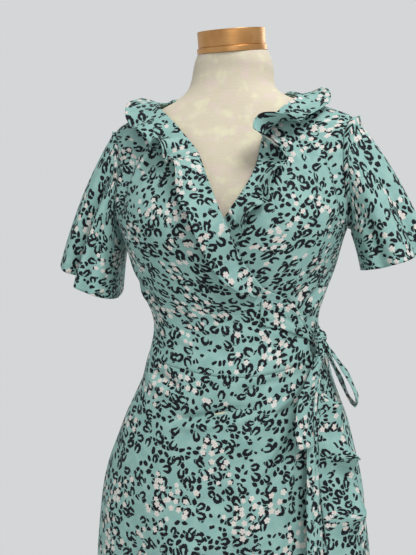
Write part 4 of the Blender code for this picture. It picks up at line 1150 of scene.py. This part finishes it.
class Shader:
    """A material being built: each call adds a node and returns its output."""

    def __init__(self, name, roughness, metallic=0.0):
        self.made = bpy.data.materials.new(name)
        self.made.use_nodes = True
        self.nodes = self.made.node_tree.nodes
        self.links = self.made.node_tree.links
        self.principled = self.nodes["Principled BSDF"]
        self.principled.inputs["Roughness"].default_value = roughness
        self.principled.inputs["Metallic"].default_value = metallic
        MATERIALS[name] = self.made

    def feed(self, socket, value):
        if isinstance(value, bpy.types.NodeSocket):
            self.links.new(value, socket)
        elif hasattr(value, "__len__") and len(value) == 3 and socket.type == "RGBA":
            socket.default_value = (*value, 1.0)
        else:
            socket.default_value = value

    def node(self, kind, output, inputs=(), **settings):
        made = self.nodes.new("ShaderNode" + kind)
        for key, value in settings.items():
            setattr(made, key, value)
        for key, value in dict(inputs).items():
            self.feed(made.inputs[key], value)
        return made.outputs[output]

    def math(self, operation, *values):
        inputs = list(enumerate(values))
        return self.node("Math", 0, inputs, operation=operation)

    def vector(self, operation, *values, output=0):
        return self.node("VectorMath", output, list(enumerate(values)), operation=operation)

    def range(self, value, low, high, to_low=0.0, to_high=1.0):
        names = ("Value", "From Min", "From Max", "To Min", "To Max")
        inputs = zip(names, (value, low, high, to_low, to_high))
        return self.node("MapRange", 0, inputs, interpolation_type="SMOOTHSTEP")

    def mix(self, share, first, second):
        made = self.nodes.new("ShaderNodeMix")
        made.data_type = "RGBA"
        self.feed(made.inputs[0], share)
        self.feed(made.inputs[6], first)
        self.feed(made.inputs[7], second)
        return made.outputs[2]

    def noise(self, place, scale, detail=2.0, output=0):
        return self.node("TexNoise", output, {"Vector": place, "Scale": scale, "Detail": detail})

    def cells(self, place, size, output, randomness=0.85):
        inputs = {"Vector": place, "Scale": 1 / size, "Randomness": randomness}
        return self.node("TexVoronoi", output, inputs, voronoi_dimensions="2D")

    def split(self, vector):
        made = self.nodes.new("ShaderNodeSeparateXYZ")
        self.links.new(vector, made.inputs[0])
        return made.outputs[0], made.outputs[1], made.outputs[2]

    def turned(self, vector, turn):
        inputs = {"Vector": vector, "Angle": turn}
        return self.node("VectorRotate", 0, inputs, rotation_type="Z_AXIS")

    def bump(self, height, distance, strength=1.0, under=None):
        inputs = {"Height": height, "Distance": distance, "Strength": strength}
        if under is not None:
            inputs["Normal"] = under
        return self.node("Bump", 0, inputs)


def local_place(shader, place, size, randomness=0.85):
    """Within the nearest cell: the place from its middle turned at random, the middle, and random numbers."""
    middle = shader.cells(place, size, "Position", randomness)
    chance = shader.split(shader.cells(place, size, "Color", randomness))
    away = shader.vector("SUBTRACT", place, middle)
    turned = shader.turned(away, shader.math("MULTIPLY", chance[0], 2 * math.pi))
    return turned, middle, chance


def stretched_length(shader, vector, across):
    x, y, _ = shader.split(vector)
    x = shader.math("MULTIPLY", x, x)
    y = shader.math("MULTIPLY", y, across)
    y = shader.math("MULTIPLY", y, y)
    return shader.math("SQRT", shader.math("ADD", x, y))


def rosettes(shader, place, wobble):
    """Open rings, some with a spot inside, as a mask, and where they are as another."""
    turned, middle, chance = local_place(shader, place, ROSETTE_CELL)
    size = shader.math("MULTIPLY_ADD", chance[1], 0.35, 0.80)
    radius = shader.math("DIVIDE", stretched_length(shader, turned, 1.22), size)
    radius = shader.math("ADD", radius, wobble)
    off = shader.math("ABSOLUTE", shader.math("SUBTRACT", radius, ROSETTE_RADIUS))
    ring = shader.range(off, ROSETTE_STROKE + MARK_EDGE, ROSETTE_STROKE - MARK_EDGE)
    x, y, _ = shader.split(turned)
    gap_half = shader.math("MULTIPLY_ADD", chance[2], 0.0022, 0.0004)
    beside = shader.math("SUBTRACT", shader.math("ABSOLUTE", y), gap_half)
    closed = shader.range(beside, -0.0002, 0.0005)
    behind = shader.range(x, 0.0008, 0.0)
    ring = shader.math("MULTIPLY", ring, shader.math("MAXIMUM", closed, behind))
    seen = shader.noise(middle, 21.0, 1.0)
    present = shader.math("GREATER_THAN", shader.math("MULTIPLY_ADD", chance[1], 0.35, seen), 0.585)
    ring = shader.math("MULTIPLY", ring, present)
    around = shader.math("MULTIPLY", shader.range(radius, 0.0085, 0.0080), present)
    return ring, around


def spots(shader, place, wobble, around):
    """Short broken spots that gather in bands, clear of the rings."""
    turned, middle, chance = local_place(shader, place, SPOT_CELL, 0.95)
    size = shader.math("MULTIPLY_ADD", chance[1], 0.50, 0.68)
    radius = shader.math("DIVIDE", stretched_length(shader, turned, 1.55), size)
    radius = shader.math("ADD", radius, wobble)
    spot = shader.range(radius, SPOT_RADIUS + MARK_EDGE, SPOT_RADIUS - MARK_EDGE)
    border = shader.node(
        "TexVoronoi",
        "Distance",
        {"Vector": place, "Scale": 1 / SPOT_CELL, "Randomness": 0.95},
        voronoi_dimensions="2D",
        feature="DISTANCE_TO_EDGE",
    )
    apart = shader.range(border, 0.035, 0.085)
    seen = shader.noise(middle, 30.0, 1.5)
    present = shader.math("GREATER_THAN", shader.math("MULTIPLY_ADD", chance[2], 0.24, seen), 0.560)
    clear = shader.math("SUBTRACT", 1.0, around)
    spot = shader.math("MULTIPLY", spot, shader.math("MULTIPLY", present, clear))
    return shader.math("MULTIPLY", spot, apart)


def flowers(shader, place):
    """Small flowers with five petals, in clusters, with their warmth."""
    turned, middle, chance = local_place(shader, place, FLOWER_CELL, 0.75)
    x, y, _ = shader.split(turned)
    angle = shader.math("MULTIPLY", shader.math("ARCTAN2", y, x), 2.5)
    lobe = shader.math("SQRT", shader.math("ABSOLUTE", shader.math("COSINE", angle)))
    size = shader.math("MULTIPLY_ADD", chance[1], 0.30, 0.72)
    reach = shader.math("MULTIPLY", shader.math("MULTIPLY_ADD", lobe, 0.55, 0.45), size)
    distance = shader.vector("LENGTH", turned, output="Value")
    share = shader.math("DIVIDE", distance, shader.math("MULTIPLY", reach, FLOWER_RADIUS))
    petal = shader.range(share, 1.06, 0.94)
    seen = shader.noise(shader.vector("ADD", middle, (3.1, 1.7, 0.0)), 17.0, 1.0)
    present = shader.math("GREATER_THAN", shader.math("MULTIPLY_ADD", chance[2], 0.20, seen), 0.672)
    heart = shader.range(distance, 0.0005, 0.0011)
    petal = shader.math("MULTIPLY", petal, present)
    return shader.math("MULTIPLY", petal, shader.math("MULTIPLY_ADD", heart, 0.35, 0.65)), chance[0]


def crepe():
    shader = Shader("crepe", 0.74)
    flat = shader.node("UVMap", 0, uv_map="cloth")
    edge = shader.node("Attribute", 2, attribute_name="edge")
    drift = shader.noise(flat, 130.0, 2.0, output=1)
    drift = shader.vector("SUBTRACT", drift, (0.5, 0.5, 0.5))
    drift = shader.node("VectorMath", 0, {0: drift, "Scale": PRINT_DRIFT}, operation="SCALE")
    place = shader.vector("ADD", flat, drift)
    wobble = shader.math("MULTIPLY_ADD", shader.noise(flat, 420.0, 1.0), 0.0036, -0.0018)
    ring, around = rosettes(shader, place, wobble)
    mark = shader.math("MAXIMUM", ring, spots(shader, place, wobble, around))
    petal, warmth = flowers(shader, flat)
    grain = shader.noise(flat, 900.0, 3.0)
    slub = shader.noise(flat, 60.0, 3.0)
    ground = shader.mix(shader.range(slub, 0.35, 0.68), TEAL, TEAL_LIGHT)
    ground = shader.mix(shader.range(grain, 0.30, 0.75, 0.0, 0.22), ground, (0.13, 0.28, 0.26))
    stitched = shader.math("MULTIPLY", shader.range(edge, 0.0014, 0.0020), shader.range(edge, 0.0032, 0.0026))
    ground = shader.mix(shader.math("MULTIPLY", stitched, 0.45), ground, (0.10, 0.26, 0.24))
    ink = shader.mix(shader.range(grain, 0.35, 0.80, 0.0, 0.35), INK, (0.010, 0.014, 0.018))
    cream = shader.mix(warmth, PETAL, PETAL_WARM)
    colour = shader.mix(mark, ground, ink)
    colour = shader.mix(petal, colour, cream)
    shader.feed(shader.principled.inputs["Base Color"], colour)
    shader.principled.inputs["Sheen Weight"].default_value = 0.04
    shader.principled.inputs["Sheen Roughness"].default_value = 0.45
    shader.principled.inputs["Specular IOR Level"].default_value = 0.16
    pebble = shader.bump(grain, 0.0005, 0.55)
    crush = shader.bump(shader.noise(flat, 260.0, 2.0), 0.0006, 0.35, pebble)
    hem = shader.math("SUBTRACT", shader.range(edge, 0.0036, 0.0022), stitched)
    shader.feed(shader.principled.inputs["Normal"], shader.bump(hem, 0.0005, 0.6, crush))


def canvas():
    shader = Shader("canvas", 0.82)
    place = shader.node("TexCoord", "Object")
    blotch = shader.noise(place, 60.0, 5.0)
    other = shader.noise(shader.vector("ADD", place, (1.3, 2.1, 0.4)), 42.0, 5.0)
    colour = shader.mix(shader.range(blotch, 0.48, 0.66), CREAM, CREAM_PINK)
    colour = shader.mix(shader.range(other, 0.50, 0.68), colour, CREAM_YELLOW)
    x, y, z = shader.split(place)
    round_place = shader.math("MULTIPLY", shader.math("ARCTAN2", x, y), 90.0)
    warp = shader.math("SINE", shader.math("MULTIPLY", round_place, 6.2))
    weft = shader.math("SINE", shader.math("MULTIPLY", z, 4400.0))
    weave = shader.math("MULTIPLY", warp, weft)
    slub = shader.noise(shader.vector("MULTIPLY", place, (1.0, 1.0, 7.0)), 90.0, 3.0)
    colour = shader.mix(shader.range(slub, 0.45, 0.75, 0.0, 0.25), colour, (0.56, 0.49, 0.36))
    shader.feed(shader.principled.inputs["Base Color"], colour)
    shader.principled.inputs["Sheen Weight"].default_value = 0.10
    shader.principled.inputs["Specular IOR Level"].default_value = 0.25
    first = shader.bump(weave, 0.0003, 0.30)
    shader.feed(shader.principled.inputs["Normal"], shader.bump(slub, 0.0008, 0.40, first))


def metal(name, colour, pale, roughness):
    """Metal with fine turning marks round the part and a little wear."""
    shader = Shader(name, roughness, 1.0)
    place = shader.node("TexCoord", "Object")
    lines = shader.noise(shader.vector("MULTIPLY", place, (3.0, 3.0, 900.0)), 1.0, 3.0)
    cloud = shader.noise(place, 24.0, 3.0)
    tint = shader.mix(shader.range(cloud, 0.35, 0.70), colour, pale)
    tint = shader.mix(shader.range(lines, 0.40, 0.75, 0.0, 0.30), tint, tuple(0.6 * c for c in colour))
    shader.feed(shader.principled.inputs["Base Color"], tint)
    rough = shader.range(lines, 0.30, 0.75, roughness - 0.07, roughness + 0.10)
    shader.feed(shader.principled.inputs["Roughness"], rough)
    shader.feed(shader.principled.inputs["Normal"], shader.bump(lines, 0.0001, 0.25))


crepe()
canvas()
metal("copper", COPPER, COPPER_PALE, 0.36)
metal("steel", STEEL, (0.66, 0.66, 0.65), 0.38)


# ---------------------------------------------------------------- stage
def area_light(name, place, target, size, power):
    light = bpy.data.lights.new(name, "AREA")
    light.size = size
    light.energy = power
    holder = bpy.data.objects.new(name, light)
    holder.location = place
    holder.rotation_euler = (Vector(target) - Vector(place)).to_track_quat("-Z", "Y").to_euler()
    bpy.context.scene.collection.objects.link(holder)


def lights():
    area_light("key", (1.2, -1.5, 3.0), (0, 0, 1.05), 0.9, 52.0)
    area_light("fill", (0.6, -2.6, 1.3), (0, 0, 1.1), 1.4, 6.0)
    area_light("back", (1.2, 2.0, 2.4), (0, 0, 1.2), 1.2, 12.0)
    world = bpy.data.worlds.new("studio")
    world.use_nodes = True
    background = world.node_tree.nodes["Background"]
    background.inputs["Color"].default_value = (0.660, 0.675, 0.680, 1.0)
    background.inputs["Strength"].default_value = 1.0
    bpy.context.scene.world = world
    bpy.context.scene.view_settings.view_transform = "Standard"
    bpy.context.scene.view_settings.look = "None"


def camera():
    data = bpy.data.cameras.new("camera")
    data.sensor_fit = "VERTICAL"
    data.sensor_height = 36.0
    data.lens = 36.0 * CAMERA_DISTANCE * PIXELS_A_METRE / PIXELS[1]
    data.clip_start = 0.02
    holder = bpy.data.objects.new("camera", data)
    turn = math.radians(CAMERA_DEGREES)
    place = Vector((math.sin(turn), -math.cos(turn), 0)) * CAMERA_DISTANCE + Vector((0, 0, CAMERA_Z))
    aside = Vector((-math.cos(turn), -math.sin(turn), 0)) * CAMERA_ASIDE
    target = aside + Vector((0, 0, CAMERA_Z))
    look = (target - place).to_track_quat("-Z", "Y").to_matrix().to_4x4()
    holder.matrix_world = Matrix.Translation(place) @ look @ Matrix.Rotation(-CAMERA_ROLL, 4, "Z")
    bpy.context.scene.collection.objects.link(holder)
    bpy.context.scene.camera = holder


def floor():
    made = bmesh.new()
    bmesh.ops.create_circle(made, cap_ends=True, radius=FLOOR_RADIUS, segments=96)
    mesh = bpy.data.meshes.new("floor")
    made.to_mesh(mesh)
    made.free()
    piece = bpy.data.objects.new("floor", mesh)
    piece.location = (0, 0, -0.0005)
    bpy.context.scene.collection.objects.link(piece)
    paint = bpy.data.materials.new("floor")
    paint.use_nodes = True
    shader = paint.node_tree.nodes["Principled BSDF"]
    shader.inputs["Base Color"].default_value = (0.74, 0.74, 0.73, 1.0)
    shader.inputs["Roughness"].default_value = 0.85
    mesh.materials.append(paint)


def main():
    torso()
    neck_cap()
    stand()
    back_bodice()
    front_bodice(
        "bodice_right_front", -1, NECKLINE_RIGHT, WRAP_EDGE_DEG, over_fine,
        ["form_torso", "bodice_left_front"], (0.10, 0.42), (0.44, 0.46),
    )
    front_bodice(
        "bodice_left_front", 1, NECKLINE_LEFT, UNDER_EDGE_DEG, under_fine,
        ["form_torso"], (0.55, 0.47), (0.42, 0.46),
    )
    skirt("skirt_back", 90, 270, under_fine, ("first_column", "last_column"), ("first_row",),
          (0.90, 0.35), ["bodice_back"], (0.72, 0.55))
    skirt("skirt_right_front", -90, WRAP_EDGE_DEG, over_fine, ("first_column",),
          ("first_row", "last_column"), (0.10, 0.42), ["bodice_right_front"], (0.62, 0.55))
    skirt("skirt_left_front", UNDER_EDGE_DEG, 90, under_fine, ("last_column",),
          ("first_row", "first_column"), (0.55, 0.47), ["bodice_left_front"], (0.58, 0.55))
    sleeve("sleeve_right", RIGHT_SLEEVE, RIGHT_FINE_FOLDS, (0.03, 0.13), (0.46, 0.30))
    sleeve("sleeve_left", LEFT_SLEEVE, LEFT_FINE_FOLDS, (0.77, 0.21), (0.48, 0.30))
    neck_ruffles()
    flounce()
    tie("front_tie", FRONT_TIE, over_fine, HANGING_GAP, ["bodice_right_front"], (0.12, 0.045))
    tie("back_tie", BACK_TIE, under_fine, BACK_TIE_GAP, ["bodice_back"], (0.48, 0.032))
    knot()
    hanging("tail_back", BACK_TAIL, (0.03, 0.46), (0.21, 0.63))
    hanging("tail_front", FRONT_TAIL, (0.03, 0.40), (0.26, 0.66))
    hanging("bow_long_loop", LONG_LOOP, (0.036, 0.32), (0.34, 0.70))
    hanging("bow_short_loop", SHORT_LOOP, (0.03, 0.22), (0.41, 0.74))
    lights()
    camera()
    floor()


main()
